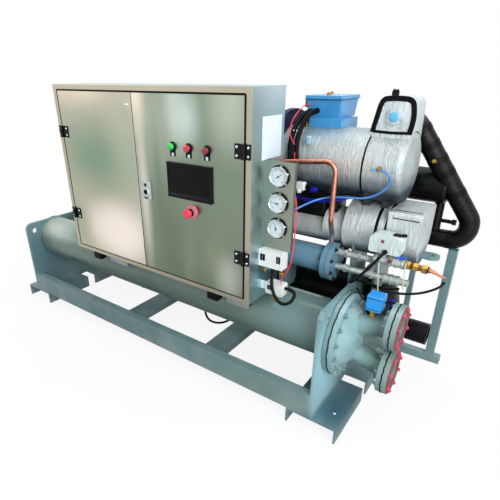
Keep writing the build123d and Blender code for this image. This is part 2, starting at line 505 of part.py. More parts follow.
# free cables and the thin blue tube
save("control_conduit", cord("control_conduit", [
    (800, -333, 722), (800, -333, 690), (811, -359, 652), (833, -368, 606), (866, -370, 578), (901, -358, 588),
    (915, -340, 618), (898, -323, 632), (858, -323, 632)], 7))
save("actuator_cable", cord("actuator_cable", [
    (1181, -98, 800), (1181, -134, 800), (1150, -150, 750), (1101, -142, 680), (1070, -132, 642),
    (1050, -98, 632), (1062, -60, 628), (1100, -35, 615), (1150, -8, 588), (1205, 50, 556), (1250, 130, 528),
    (1305, 205, 518), (1366, 285, 535), (1366, POST_Y - POST / 2, 535)], 6))
save("blue_tube", cord("blue_tube", [
    (1096, -46.5, 1112), (1101, -66, 1114), (1128, -70, 1110), (1151, -66, 1088), (1146, -62, 1058),
    (1117, -60, 1021), (1060, -60, 991), (996, -60, 986), (909, -61, 976), (862, -84, 962), (836, -134, 950),
    (830, -210, 946), (831, -280, 950), (831, PANEL_Y + 2, 950)], 4))
save("cabinet_cable", cord("cabinet_cable", [
    (190, CAB_Y[1], 604), (190, -150, 604), (198, -92, 582), (209, -50, 520), (220, -36, 440), (226, -44, 355),
    (236, -90, 282), (262, -145, 236), (306, -178, 213), (352, -186, 208), (406, -180, 219), (452, -158, 245),
    (483, -112, 286), (499, -62, 345), (508, -30, 420), (515, -8, 488), (524, 8, 548), (482, 8, 548)], 6))
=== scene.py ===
import math

import bmesh
import bpy
from mathutils import Matrix, Vector


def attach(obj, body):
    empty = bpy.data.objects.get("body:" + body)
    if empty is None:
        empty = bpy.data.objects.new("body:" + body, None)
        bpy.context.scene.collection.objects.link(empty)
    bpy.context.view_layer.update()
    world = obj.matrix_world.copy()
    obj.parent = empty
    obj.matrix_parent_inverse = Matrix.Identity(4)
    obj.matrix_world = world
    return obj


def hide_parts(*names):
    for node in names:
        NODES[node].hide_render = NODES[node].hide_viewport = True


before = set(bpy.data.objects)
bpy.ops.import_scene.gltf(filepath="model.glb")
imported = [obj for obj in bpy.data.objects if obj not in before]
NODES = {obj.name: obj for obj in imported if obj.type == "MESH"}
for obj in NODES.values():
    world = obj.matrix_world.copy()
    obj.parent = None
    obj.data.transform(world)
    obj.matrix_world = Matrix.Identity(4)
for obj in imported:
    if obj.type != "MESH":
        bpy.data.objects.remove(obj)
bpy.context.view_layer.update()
SCENE = bpy.context.scene

# The skid is drawn from its own middle; the stored part from the middle of the whole machine.
SKID_SHIFT = Vector((0.1205, -0.0205, 0.0))

# Places on the machine, in millimetres from the middle of the skid
DOOR_FACE_Y = -425.0
CONDENSER = (-188.0, 425.0)             # y and z of its axis
EVAPORATOR = (190.0, 405.0)
COMPRESSOR = (100.0, 1100.0)
SEPARATOR = (100.0, 826.0)
DRIER = (-22.0, 670.0)
VALVE_LINE = (-50, 745)                 # y and z of the liquid line through the expansion valve
NOZZLE_RISE = 106.0
END_PLATE_FACES = (1043.5, 1066.5)      # x of the end plates' inner and outer face
LIGHTS_X, LIGHTS_Z = (353.0, 441.0, 536.0), 1184.0
GAUGE_X, GAUGE_HEIGHTS, PANEL_Y = 812.0, (893.0, 996.0, 1100.0), -330.0
STOP_X, STOP_Z = 447.0, 919.0
LOCK_X = 178.5
HEADER_NUT = (1236.0, 232.0, 1115.0)

# The photograph's camera: place in skid millimetres, lens in millimetres, turns in degrees
CAMERA_PLACE = (1592.55, -1725.1, 1450.9)
CAMERA_LENS, CAMERA_SHIFT = 30.085, (0.044, 0.0345)
CAMERA_HEADING, CAMERA_DIP, CAMERA_ROLL = 36.374, 24.701, -0.323
FLOOR_REACH = 40.0


def at(x, y, z):
    """A point given in millimetres from the middle of the skid, in the part's metres."""
    return Vector((x, y, z)) / 1000 - SKID_SHIFT


def paint(red, green, blue):
    """A colour as it looks, 0 to 255, as the renderer's own value."""
    def one(v):
        v /= 255
        return v / 12.92 if v <= 0.04045 else ((v + 0.055) / 1.055) ** 2.4
    return one(red), one(green), one(blue), 1.0


# Camera, lamps, floor

def set_up_camera():
    data = bpy.data.cameras.new("photo_camera")
    data.sensor_width = 36.0
    data.lens = CAMERA_LENS
    data.shift_x, data.shift_y = CAMERA_SHIFT
    data.clip_start, data.clip_end = 0.05, 60.0
    camera = bpy.data.objects.new("photo_camera", data)
    SCENE.collection.objects.link(camera)
    turn = Matrix.Rotation(math.radians(CAMERA_HEADING), 4, "Z")
    turn = turn @ Matrix.Rotation(math.radians(90 - CAMERA_DIP), 4, "X")
    turn = turn @ Matrix.Rotation(math.radians(CAMERA_ROLL), 4, "Z")
    camera.matrix_world = Matrix.Translation(at(*CAMERA_PLACE)) @ turn
    SCENE.camera = camera


def add_lamp(name, place, aim, size, power):
    data = bpy.data.lights.new(name, "AREA")
    data.shape, data.size, data.energy = "SQUARE", size, power
    lamp = bpy.data.objects.new(name, data)
    SCENE.collection.objects.link(lamp)
    lamp.location = place
    lamp.rotation_euler = (Vector(aim) - Vector(place)).to_track_quat("-Z", "Y").to_euler()


def set_up_light():
    SCENE.view_settings.view_transform = "Standard"
    world = bpy.data.worlds.new("soft_daylight")
    SCENE.world = world
    world.use_nodes = True
    tree = world.node_tree
    tree.nodes.clear()
    rays = tree.nodes.new("ShaderNodeLightPath")
    seen = maths(tree, "MAXIMUM", rays.outputs["Is Camera Ray"], rays.outputs["Is Glossy Ray"])
    seen = maths(tree, "MAXIMUM", seen, rays.outputs["Is Transmission Ray"])
    soft = node(tree, "ShaderNodeBackground", {"Color": (0.90, 0.96, 1.0, 1), "Strength": 0.62})
    white = node(tree, "ShaderNodeBackground", {"Color": (1, 1, 1, 1)})
    mix = node(tree, "ShaderNodeMixShader", {"Fac": seen, 1: soft.outputs[0], 2: white.outputs[0]})
    node(tree, "ShaderNodeOutputWorld", {"Surface": mix.outputs[0]})
    add_lamp("window_right", (4.4, -2.6, 3.4), (0.6, 0, 0.6), 3.0, 172)
    add_lamp("low_fill", (3.1, -2.3, 1.1), (0.8, 0, 0.7), 1.6, 34)
    add_lamp("window_left", (-3.8, -3.6, 3.2), (-0.2, 0, 0.6), 3.0, 50)
    add_lamp("roof_light", (0.2, 0.4, 4.6), (0.2, 0, 0.5), 3.2, 78)


def lay_floor():
    """A pale floor that runs into the white backdrop and keeps a light shadow under the machine.

    Camera and mirror rays see it paler with distance; other rays see a darker tone.
    """
    mesh = bpy.data.meshes.new("floor")
    corners = [(x * FLOOR_REACH, y * FLOOR_REACH, 0) for x, y in ((-1, -1), (1, -1), (1, 1), (-1, 1))]
    mesh.from_pydata(corners, [], [(0, 1, 2, 3)])
    floor = bpy.data.objects.new("floor", mesh)
    SCENE.collection.objects.link(floor)
    material = bpy.data.materials.new("pale_floor")
    material.use_nodes = True
    tree = material.node_tree
    tree.nodes.clear()
    rays = tree.nodes.new("ShaderNodeLightPath")
    place = tree.nodes.new("ShaderNodeTexCoord")
    distance = node(tree, "ShaderNodeVectorMath", {0: place.outputs["Object"]}, operation="LENGTH")
    seen = ramp(tree, distance.outputs["Value"], 1.3, 2.6, 0.88, 1.0)
    mirrored = ramp(tree, distance.outputs["Value"], 0.9, 2.0, 0.06, 0.95)
    mirror_ray = maths(tree, "MAXIMUM", rays.outputs["Is Glossy Ray"], rays.outputs["Is Transmission Ray"])
    part = maths(tree, "ADD", maths(tree, "MULTIPLY", rays.outputs["Is Camera Ray"], seen),
                 maths(tree, "MULTIPLY", mirror_ray, mirrored), clamp=True)
    tone = ramp(tree, rays.outputs["Is Camera Ray"], 0.0, 1.0, 0.26, 0.88)
    lit = node(tree, "ShaderNodeBsdfDiffuse", {"Color": tone})
    bright = tree.nodes.new("ShaderNodeEmission")
    mix = node(tree, "ShaderNodeMixShader", {"Fac": part, 1: lit.outputs[0], 2: bright.outputs[0]})
    node(tree, "ShaderNodeOutputMaterial", {"Surface": mix.outputs[0]})
    mesh.materials.append(material)


# Shader building

def node(tree, kind, links=None, **settings):
    """One node: settings name its properties, links its inputs, as sockets or plain values."""
    made = tree.nodes.new(kind)
    for key, value in settings.items():
        setattr(made, key, value)
    for key, value in (links or {}).items():
        if isinstance(value, bpy.types.NodeSocket):
            tree.links.new(value, made.inputs[key])
        else:
            made.inputs[key].default_value = value
    return made


def maths(tree, operation, first, second=0.0, clamp=False):
    return node(tree, "ShaderNodeMath", {0: first, 1: second}, operation=operation,
                use_clamp=clamp).outputs[0]


def ramp(tree, value, low, high, to_low=0.0, to_high=1.0):
    made = node(tree, "ShaderNodeMapRange", {"Value": value, "From Min": low, "From Max": high,
                                             "To Min": to_low, "To Max": to_high},
                interpolation_type="SMOOTHSTEP")
    return made.outputs["Result"]


def start_group(name, inputs, outputs, kind_of_tree="ShaderNodeTree"):
    """A node group with these (name, type, value) inputs and (name, type) outputs, and its sockets."""
    tree = bpy.data.node_groups.new(name, kind_of_tree)
    for socket, kind, value in inputs:
        made = tree.interface.new_socket(socket, in_out="INPUT", socket_type="NodeSocket" + kind)
        if value is not None:
            made.default_value = value
    for socket, kind in outputs:
        tree.interface.new_socket(socket, in_out="OUTPUT", socket_type="NodeSocket" + kind)
    return tree, tree.nodes.new("NodeGroupInput").outputs, tree.nodes.new("NodeGroupOutput").inputs


def stretched(tree, vector, across, along):
    """The vector with its x scaled by across and its y and z by along."""
    size = node(tree, "ShaderNodeCombineXYZ", {"X": across, "Y": along, "Z": along})
    return node(tree, "ShaderNodeVectorMath", {0: vector, 1: size.outputs[0]},
                operation="MULTIPLY").outputs[0]


def mottle_group():
    """Cloudy noise, coarse with some fine in it, from 0 to 1 round 0.5."""
    tree, given, out = start_group("mottle", [("Vector", "Vector", None), ("Scale", "Float", 4.0),
                                              ("Contrast", "Float", 1.0)], [("Value", "Float")])
    coarse = node(tree, "ShaderNodeTexNoise", {"Vector": given["Vector"], "Scale": given["Scale"],
                                               "Detail": 5.0})
    fine = node(tree, "ShaderNodeTexNoise", {"Vector": given["Vector"], "Detail": 3.0,
                                             "Scale": maths(tree, "MULTIPLY", given["Scale"], 5.3)})
    both = maths(tree, "ADD", maths(tree, "MULTIPLY", coarse.outputs["Fac"], 0.7),
                 maths(tree, "MULTIPLY", fine.outputs["Fac"], 0.3))
    centred = maths(tree, "MULTIPLY", maths(tree, "SUBTRACT", both, 0.5), given["Contrast"])
    tree.links.new(maths(tree, "ADD", centred, 0.5, clamp=True), out["Value"])
    return tree


def brushed_group():
    """Fine lines that run along z, on faces that look along x or y."""
    tree, given, out = start_group(
        "brushed_grain", [("Vector", "Vector", None), ("Fineness", "Float", 900.0),
                          ("Length", "Float", 60.0)], [("Value", "Float")])
    parts = node(tree, "ShaderNodeSeparateXYZ", {"Vector": given["Vector"]}).outputs
    across = maths(tree, "MULTIPLY", maths(tree, "ADD", parts["X"], parts["Y"]), given["Fineness"])
    along = maths(tree, "MULTIPLY", parts["Z"], maths(tree, "DIVIDE", given["Fineness"], given["Length"]))
    lines = node(tree, "ShaderNodeCombineXYZ", {"X": across, "Y": along})
    grain = node(tree, "ShaderNodeTexNoise", {"Vector": lines.outputs[0], "Scale": 1.0, "Detail": 3.0,
                                              "Roughness": 0.6})
    tree.links.new(grain.outputs["Fac"], out["Value"])
    return tree


def foil_group():
    """Foil wound round a drum: narrow wrinkles that follow the turn, with a few sharp creases, and a mask of
    the wrinkles for painted shade.
    """
    tree, given, out = start_group("wound_foil", [("Vector", "Vector", None), ("Scale", "Float", 90.0)],
                                   [("Height", "Float"), ("Crease", "Float"), ("Streak", "Float")])
    along = maths(tree, "MULTIPLY", given["Scale"], 0.16)
    wide = stretched(tree, given["Vector"], given["Scale"], along)
    wrinkle = node(tree, "ShaderNodeTexNoise", {"Vector": wide, "Scale": 1.0, "Detail": 4.0,
                                                "Roughness": 0.62, "Distortion": 0.8})
    narrow = maths(tree, "MULTIPLY", given["Scale"], 0.42)
    creases = node(tree, "ShaderNodeTexNoise", {"Vector": stretched(tree, given["Vector"], narrow, along),
                                                "Scale": 1.0, "Detail": 5.0, "Distortion": 1.6})
    ridge = maths(tree, "ABSOLUTE", maths(tree, "SUBTRACT", creases.outputs["Fac"], 0.5))
    some = node(tree, "ShaderNodeTexNoise", {"Vector": given["Vector"], "Scale": 9.0, "Detail": 2.0})
    crease = maths(tree, "MULTIPLY", ramp(tree, ridge, 0.0, 0.035, 1.0, 0.0),
                   ramp(tree, some.outputs["Fac"], 0.42, 0.62))
    tree.links.new(wrinkle.outputs["Fac"], out["Height"])
    tree.links.new(crease, out["Crease"])
    # The wrinkles' mask, which the foil darkens as painted shade.
    tree.links.new(ramp(tree, wrinkle.outputs["Fac"], 0.45, 0.72), out["Streak"])
    return tree


def dust_group():
    """Patchy dust that fades out at the given height above the floor."""
    tree, given, out = start_group("floor_dust", [("Vector", "Vector", None), ("Height", "Float", 0.35)],
                                   [("Mask", "Float")])
    parts = node(tree, "ShaderNodeSeparateXYZ", {"Vector": given["Vector"]}).outputs
    low = ramp(tree, maths(tree, "DIVIDE", parts["Z"], given["Height"]), 0.0, 1.0, 1.0, 0.0)
    patches = node(tree, "ShaderNodeTexNoise", {"Vector": given["Vector"], "Scale": 7.0, "Detail": 6.0})
    tree.links.new(maths(tree, "MULTIPLY", low, ramp(tree, patches.outputs["Fac"], 0.35, 0.7)), out["Mask"])
    return tree


def chips_group():
    """Small sharp spots where paint has come off."""
    tree, given, out = start_group("chips", [("Vector", "Vector", None), ("Scale", "Float", 26.0),
                                             ("Amount", "Float", 0.3)], [("Mask", "Float")])
    spots = node(tree, "ShaderNodeTexNoise", {"Vector": given["Vector"], "Scale": given["Scale"],
                                              "Detail": 8.0, "Roughness": 0.62})
    edge = maths(tree, "SUBTRACT", 0.83, maths(tree, "MULTIPLY", given["Amount"], 0.3))
    above = maths(tree, "SUBTRACT", spots.outputs["Fac"], edge)
    tree.links.new(maths(tree, "MULTIPLY", above, 30.0, clamp=True), out["Mask"])
    return tree


def patch_group():
    """A soft round patch: 1 at its centre, 0 at the edge of an ellipsoid of the given half sizes."""
    tree, given, out = start_group(
        "soft_patch", [("Vector", "Vector", None), ("Centre", "Vector", None),
                       ("Reach", "Vector", (1.0, 1.0, 1.0))], [("Mask", "Float")])
    off = node(tree, "ShaderNodeVectorMath", {0: given["Vector"], 1: given["Centre"]}, operation="SUBTRACT")
    share = node(tree, "ShaderNodeVectorMath", {0: off.outputs[0], 1: given["Reach"]}, operation="DIVIDE")
    far = node(tree, "ShaderNodeVectorMath", {0: share.outputs[0]}, operation="LENGTH")
    tree.links.new(ramp(tree, far.outputs["Value"], 0.0, 1.0, 1.0, 0.0), out["Mask"])
    return tree


GROUPS = {"mottle": mottle_group(), "brushed": brushed_group(), "foil": foil_group(), "dust": dust_group(),
          "chips": chips_group(), "patch": patch_group()}


class Finish:
    """A material under construction: a Principled shader and the object's own coordinates."""

    def __init__(self, name, colour, roughness=0.5, metallic=0.0, coat=0.0, **fixed):
        self.material = bpy.data.materials.new(name)
        self.material.use_nodes = True
        self.tree = self.material.node_tree
        self.shader = self.tree.nodes["Principled BSDF"]
        fixed = {"Base_Color": colour, "Roughness": roughness, "Metallic": metallic, "Coat_Weight": coat,
                 **fixed}
        for socket, value in fixed.items():
            self.shader.inputs[socket.replace("_", " ")].default_value = value
        self.material.diffuse_color = colour
        self.colour = None
        self.base = colour
        self.place = self.tree.nodes.new("ShaderNodeTexCoord").outputs["Object"]

    def group(self, name, **values):
        made = self.tree.nodes.new("ShaderNodeGroup")
        made.node_tree = GROUPS[name]
        self.tree.links.new(self.place, made.inputs["Vector"])
        for socket, value in values.items():
            made.inputs[socket].default_value = value
        return made.outputs

    def part(self, axis):
        return node(self.tree, "ShaderNodeSeparateXYZ", {"Vector": self.place}).outputs[axis]

    def shade(self, mask, colour, strength=1.0, mode="MIX"):
        """Lays a colour over what is there, where the mask is 1."""
        if strength != 1.0:
            mask = maths(self.tree, "MULTIPLY", mask, strength)
        mix = node(self.tree, "ShaderNodeMix", data_type="RGBA", blend_type=mode)
        self.tree.links.new(mask, mix.inputs["Factor"])
        if self.colour is None:
            mix.inputs[6].default_value = self.base
        else:
            self.tree.links.new(self.colour, mix.inputs[6])
        mix.inputs[7].default_value = colour
        self.colour = mix.outputs[2]
        self.tree.links.new(self.colour, self.shader.inputs["Base Color"])
        return self

    def patch(self, centre, reach, colour, strength=1.0):
        """A broad soft tone, centre in skid millimetres and reach in millimetres."""
        mask = self.group("patch", Centre=at(*centre), Reach=Vector(reach) / 1000)["Mask"]
        return self.shade(mask, colour, strength)

    def rough(self, value, low, high):
        self.tree.links.new(ramp(self.tree, value, 0.25, 0.75, low, high), self.shader.inputs["Roughness"])
        return self

    def bump(self, height, strength, distance):
        bump = node(self.tree, "ShaderNodeBump", {"Height": height, "Strength": strength,
                                                  "Distance": distance})
        normal = self.shader.inputs["Normal"]
        if normal.is_linked:
            self.tree.links.new(normal.links[0].from_socket, bump.inputs["Normal"])
        self.tree.links.new(bump.outputs[0], normal)
        return self


def toned(colour, times):
    return tuple(min(1.0, c * times) for c in colour[:3]) + (1.0,)


def enamel(name, colour, chip_amount=0.25, dust=0.35, shine=0.38, gloss=0.5):
    """Sprayed workshop enamel over steel: orange peel, dust low down, small chips to primer."""
    f = Finish(name, colour, roughness=shine, coat=gloss * 0.4, Coat_Roughness=0.25, Specular_IOR_Level=gloss)
    tone = f.group("mottle", Scale=2.6, Contrast=1.5)["Value"]
    f.shade(ramp(f.tree, tone, 0.45, 0.8), toned(colour, 1.16))
    f.shade(ramp(f.tree, tone, 0.5, 0.2), toned(colour, 0.76), 0.8)
    runs = f.group("mottle", Scale=14.0, Contrast=2.0)["Value"]
    f.shade(ramp(f.tree, runs, 0.62, 0.9), toned(colour, 0.62), 0.35)
    f.shade(f.group("dust", Height=dust)["Mask"], paint(176, 176, 166), 0.4)
    f.shade(f.group("chips", Scale=34.0, Amount=chip_amount)["Mask"], paint(62, 60, 58))
    f.rough(tone, shine - 0.1, shine + 0.12)
    f.bump(f.group("mottle", Scale=95.0, Contrast=1.0)["Value"], 0.12, 0.0012)
    f.bump(f.group("mottle", Scale=9.0, Contrast=1.0)["Value"], 0.08, 0.004)
    return f


def skid_enamel():
    """The skid's paint: blue, with bright painted light on the right end plate, deeper blue on its feet and
    painted shade on the left end plate.
    """
    f = enamel("skid_enamel", paint(106, 136, 138))
    # Painted light on the right end plate's face.
    f.patch((1078, -300, 330), (60, 330, 440), paint(172, 222, 236), 0.9)
    f.patch((1115, -260, 66), (220, 330, 70), paint(38, 84, 104), 0.95)
    # Painted shade over the left end plate.
    f.patch((-1055, -300, 300), (120, 300, 420), paint(78, 114, 130), 0.6)
    f.patch((700, -397, 140), (420, 60, 120), paint(110, 138, 124), 0.5)
    return f.material


def vessel_enamel():
    """The condenser's paint: olive in the middle, bluer by the right end plate, with a pale painted highlight
    at the top of its left end and the water head's painted light on its tube sheet.
    """
    f = enamel("vessel_enamel", paint(98, 118, 108), chip_amount=0.12, dust=0.2, shine=0.26)
    f.patch((900, -250, 450), (330, 260, 260), paint(104, 138, 138), 0.8)
    # Painted highlight along the top of the left end.
    f.patch((-880, -260, 520), (300, 200, 90), paint(196, 204, 194), 0.75)
    # The tube sheet in the water head's pale painted light.
    f.patch((1080, -188, 425), (30, 700, 700), paint(124, 158, 162), 0.9)
    return f.material


def water_head_enamel():
    """The water head's paint: pale and bluish on its dish, in painted light like the right end plate's, and
    green-grey along the two nozzles.
    """
    # The pale bluish base is painted light on the machine's lit right end.
    f = enamel("water_head_enamel", paint(140, 176, 180), chip_amount=0.2, dust=0.1, shine=0.26)
    f.patch((1235, -188, 425), (92, 600, 600), paint(92, 120, 112), 0.95)
    f.patch((1305, -188, 425), (50, 600, 600), paint(124, 142, 136), 0.95)
    return f.material


def copper_tube():
    """Bright drawn copper, its foot painted over with the drier."""
    f = drawn_metal("painted_copper_tube", paint(206, 138, 118), paint(150, 92, 76), finished=False)
    foot = ramp(f.tree, f.part("Z"), 0.87, 0.82)
    f.shade(foot, paint(92, 108, 116), 0.9)
    f.tree.links.new(maths(f.tree, "SUBTRACT", 1.0, maths(f.tree, "MULTIPLY", foot, 0.8)),
                     f.shader.inputs["Metallic"])
    return f.material


def brushed_steel(name, colour, shine=0.3):
    """Hairline stainless: fine vertical grain, a slight waviness and a few handling marks."""
    f = Finish(name, colour, roughness=shine, metallic=1.0)
    grain = f.group("brushed", Fineness=1500.0, Length=70.0)["Value"]
    smear = f.group("mottle", Scale=5.0, Contrast=1.6)["Value"]
    f.shade(ramp(f.tree, grain, 0.3, 0.7), toned(colour, 0.72), 0.16)
    f.shade(ramp(f.tree, smear, 0.5, 1.0), toned(colour, 0.8), 0.06)
    f.rough(smear, shine - 0.04, shine + 0.1)
    f.bump(grain, 0.09, 0.0004)
    f.bump(f.group("mottle", Scale=1.6, Contrast=1.0)["Value"], 0.12, 0.006)
    return f


def left_door_steel():
    """The left door's sheet in painted reflections: warm at its head, greener in the middle and with a pale
    painted highlight towards its foot.
    """
    f = brushed_steel("left_door_stainless", paint(196, 190, 170))
    # Soft patches of painted reflection and painted highlight on the stainless.
    f.patch((-180, -430, 1090), (480, 400, 330), paint(128, 154, 134), 0.95)
    f.patch((70, -430, 1130), (170, 400, 420), paint(168, 182, 162), 0.6)
    f.patch((-20, -430, 700), (330, 400, 260), paint(255, 244, 236), 1.0)
    f.patch((-120, -430, 720), (330, 400, 200), paint(246, 236, 228), 0.7)
    f.patch((-370, -430, 720), (130, 400, 330), paint(168, 174, 156), 0.85)
    f.patch((-300, -430, 1400), (400, 400, 110), paint(222, 208, 188), 0.9)
    return f.material


def right_door_steel():
    """The right door's sheet in painted reflections: greener and darker, with pale painted highlights in soft
    bands down its left side, high up and at its lower right.
    """
    f = brushed_steel("right_door_stainless", paint(132, 146, 128))
    # Soft patches of painted reflection and painted highlight on the stainless.
    f.patch((240, -430, 1250), (200, 400, 330), paint(172, 180, 164), 0.8)
    f.patch((150, -430, 1380), (80, 400, 300), paint(232, 222, 200), 0.95)
    f.patch((160, -430, 960), (52, 400, 560), paint(216, 214, 200), 0.9)
    f.patch((255, -430, 1010), (44, 400, 420), paint(112, 128, 112), 0.55)
    f.patch((430, -430, 1290), (110, 400, 190), paint(206, 222, 214), 0.8)
    f.patch((370, -430, 1330), (90, 400, 260), paint(204, 216, 206), 0.7)
    f.patch((650, -430, 1340), (170, 400, 260), paint(196, 206, 190), 0.7)
    f.patch((310, -430, 780), (150, 400, 360), paint(112, 124, 104), 0.75)
    f.patch((500, -430, 800), (110, 400, 300), paint(118, 130, 108), 0.35)
    f.patch((560, -430, 700), (120, 400, 200), paint(150, 162, 138), 0.6)
    f.patch((640, -430, 640), (110, 400, 170), paint(206, 212, 198), 0.85)
    f.patch((420, -430, 620), (60, 400, 240), paint(150, 160, 142), 0.5)
    return f.material


def cabinet_side_steel():
    """The cabinet's wrap in painted light: bluish, with bright painted light on the side by the gauges and a
    warm painted reflection with a painted highlight on the front rim.
    """
    f = brushed_steel("cabinet_stainless", paint(166, 186, 188), shine=0.36)
    # Painted light on the side and a painted reflection along the front rim.
    f.patch((744, -250, 1420), (120, 260, 300), paint(206, 226, 230), 0.9)
    f.patch((744, -330, 980), (90, 70, 300), paint(156, 188, 192), 0.7)
    f.patch((744, -330, 660), (90, 110, 260), paint(184, 222, 232), 0.95)
    f.patch((744, -428, 1000), (60, 26, 460), paint(186, 190, 180), 0.8)
    f.patch((-160, -430, 1416), (900, 90, 40), paint(226, 212, 190), 0.9)
    return f.material


def wound_foil(name, colour, under=None, shine=0.46, scale=90.0, metallic=0.5, patches=()):
    """Aluminium foil over foam, with painted light; under gives the heights between which its lower side
    darkens as painted shade, patches are painted shadows and highlights, and wrinkles and creases darken as
    painted shade.
    """
    f = Finish(name, colour, roughness=shine, metallic=metallic)
    wrinkle = f.group("foil", Scale=scale)
    rub = f.group("mottle", Scale=3.2, Contrast=2.0)["Value"]
    # Painted shade along the wrinkles.
    f.shade(wrinkle["Streak"], toned(colour, 0.66), 0.5)
    f.shade(ramp(f.tree, rub, 0.5, 0.85), toned(colour, 0.8), 0.5)
    f.shade(ramp(f.tree, rub, 0.45, 0.15), toned(colour, 1.14), 0.6)
    if under:
        high, low = at(0, 0, under[0]).z, at(0, 0, under[1]).z
        # Painted shade: the lower side darkens between the heights in under.
        f.shade(ramp(f.tree, f.part("Z"), high, (high + low) / 2), paint(120, 134, 140), 0.75)
        f.shade(ramp(f.tree, f.part("Z"), (high + low) / 2, low), paint(34, 46, 56), 0.95)
    # Patches of painted shadow and painted highlight.
    for centre, reach, tone, strength in patches:
        f.patch(centre, reach, tone, strength)
    # Painted shade in the creases.
    f.shade(wrinkle["Crease"], paint(92, 100, 104), 0.2)
    f.rough(rub, shine - 0.06, shine + 0.18)
    f.bump(wrinkle["Height"], 0.85, 0.006)
    f.bump(wrinkle["Crease"], 0.5, 0.003)
    return f.material


def foam_skin(name, colour):
    """Black closed-cell foam: a soft sheen, small dents and greyish rub marks."""
    f = Finish(name, colour, roughness=0.34, Specular_IOR_Level=0.2)
    dents = f.group("mottle", Scale=12.0, Contrast=1.6)["Value"]
    f.shade(ramp(f.tree, dents, 0.6, 0.9), paint(34, 42, 50), 0.4)
    f.rough(dents, 0.26, 0.46)
    f.bump(dents, 0.4, 0.006)
    f.bump(f.group("mottle", Scale=160.0, Contrast=1.0)["Value"], 0.12, 0.0008)
    return f.material


def moulded_plastic(name, colour, shine=0.45, speck=0.18, coat=0.0, gloss=0.5):
    """Plastic or rubber: a fine grain and slightly darker flecks."""
    f = Finish(name, colour, roughness=shine, coat=coat, Specular_IOR_Level=gloss)
    tone = f.group("mottle", Scale=18.0, Contrast=1.5)["Value"]
    f.shade(ramp(f.tree, tone, 0.45, 0.85), toned(colour, 0.8), speck * 2)
    f.rough(tone, shine - 0.06, shine + 0.1)
    f.bump(f.group("mottle", Scale=420.0, Contrast=1.0)["Value"], 0.12, 0.0004)
    return f.material


def drawn_metal(name, colour, tarnish, shine=0.28, finished=True):
    """Copper tube or turned brass: bright metal with brown tarnish and fine drawing lines."""
    f = Finish(name, colour, roughness=shine, metallic=1.0)
    tone = f.group("mottle", Scale=16.0, Contrast=2.2)["Value"]
    f.shade(ramp(f.tree, tone, 0.5, 0.9), tarnish, 0.75)
    f.rough(tone, shine - 0.05, shine + 0.2)
    f.bump(f.group("mottle", Scale=220.0, Contrast=1.0)["Value"], 0.1, 0.0005)
    return f.material if finished else f


def galvanised_zinc(name):
    """Hot-dip zinc: grey with a patchy spangle."""
    f = Finish(name, paint(168, 174, 176), roughness=0.42, metallic=0.8)
    tone = f.group("mottle", Scale=22.0, Contrast=1.5)["Value"]
    f.shade(ramp(f.tree, tone, 0.4, 0.8), paint(140, 146, 149), 0.5)
    f.rough(tone, 0.34, 0.55)
    f.bump(tone, 0.2, 0.0008)
    return f.material


def screen_glass():
    """The display: black glass over a dark panel, smeared a little by fingers."""
    f = Finish("screen_glass", paint(5, 5, 7), roughness=0.16, Specular_IOR_Level=0.12)
    smear = f.group("mottle", Scale=9.0, Contrast=1.6)["Value"]
    f.shade(ramp(f.tree, smear, 0.6, 0.9), paint(20, 22, 26), 0.5)
    f.rough(smear, 0.1, 0.24)
    return f.material


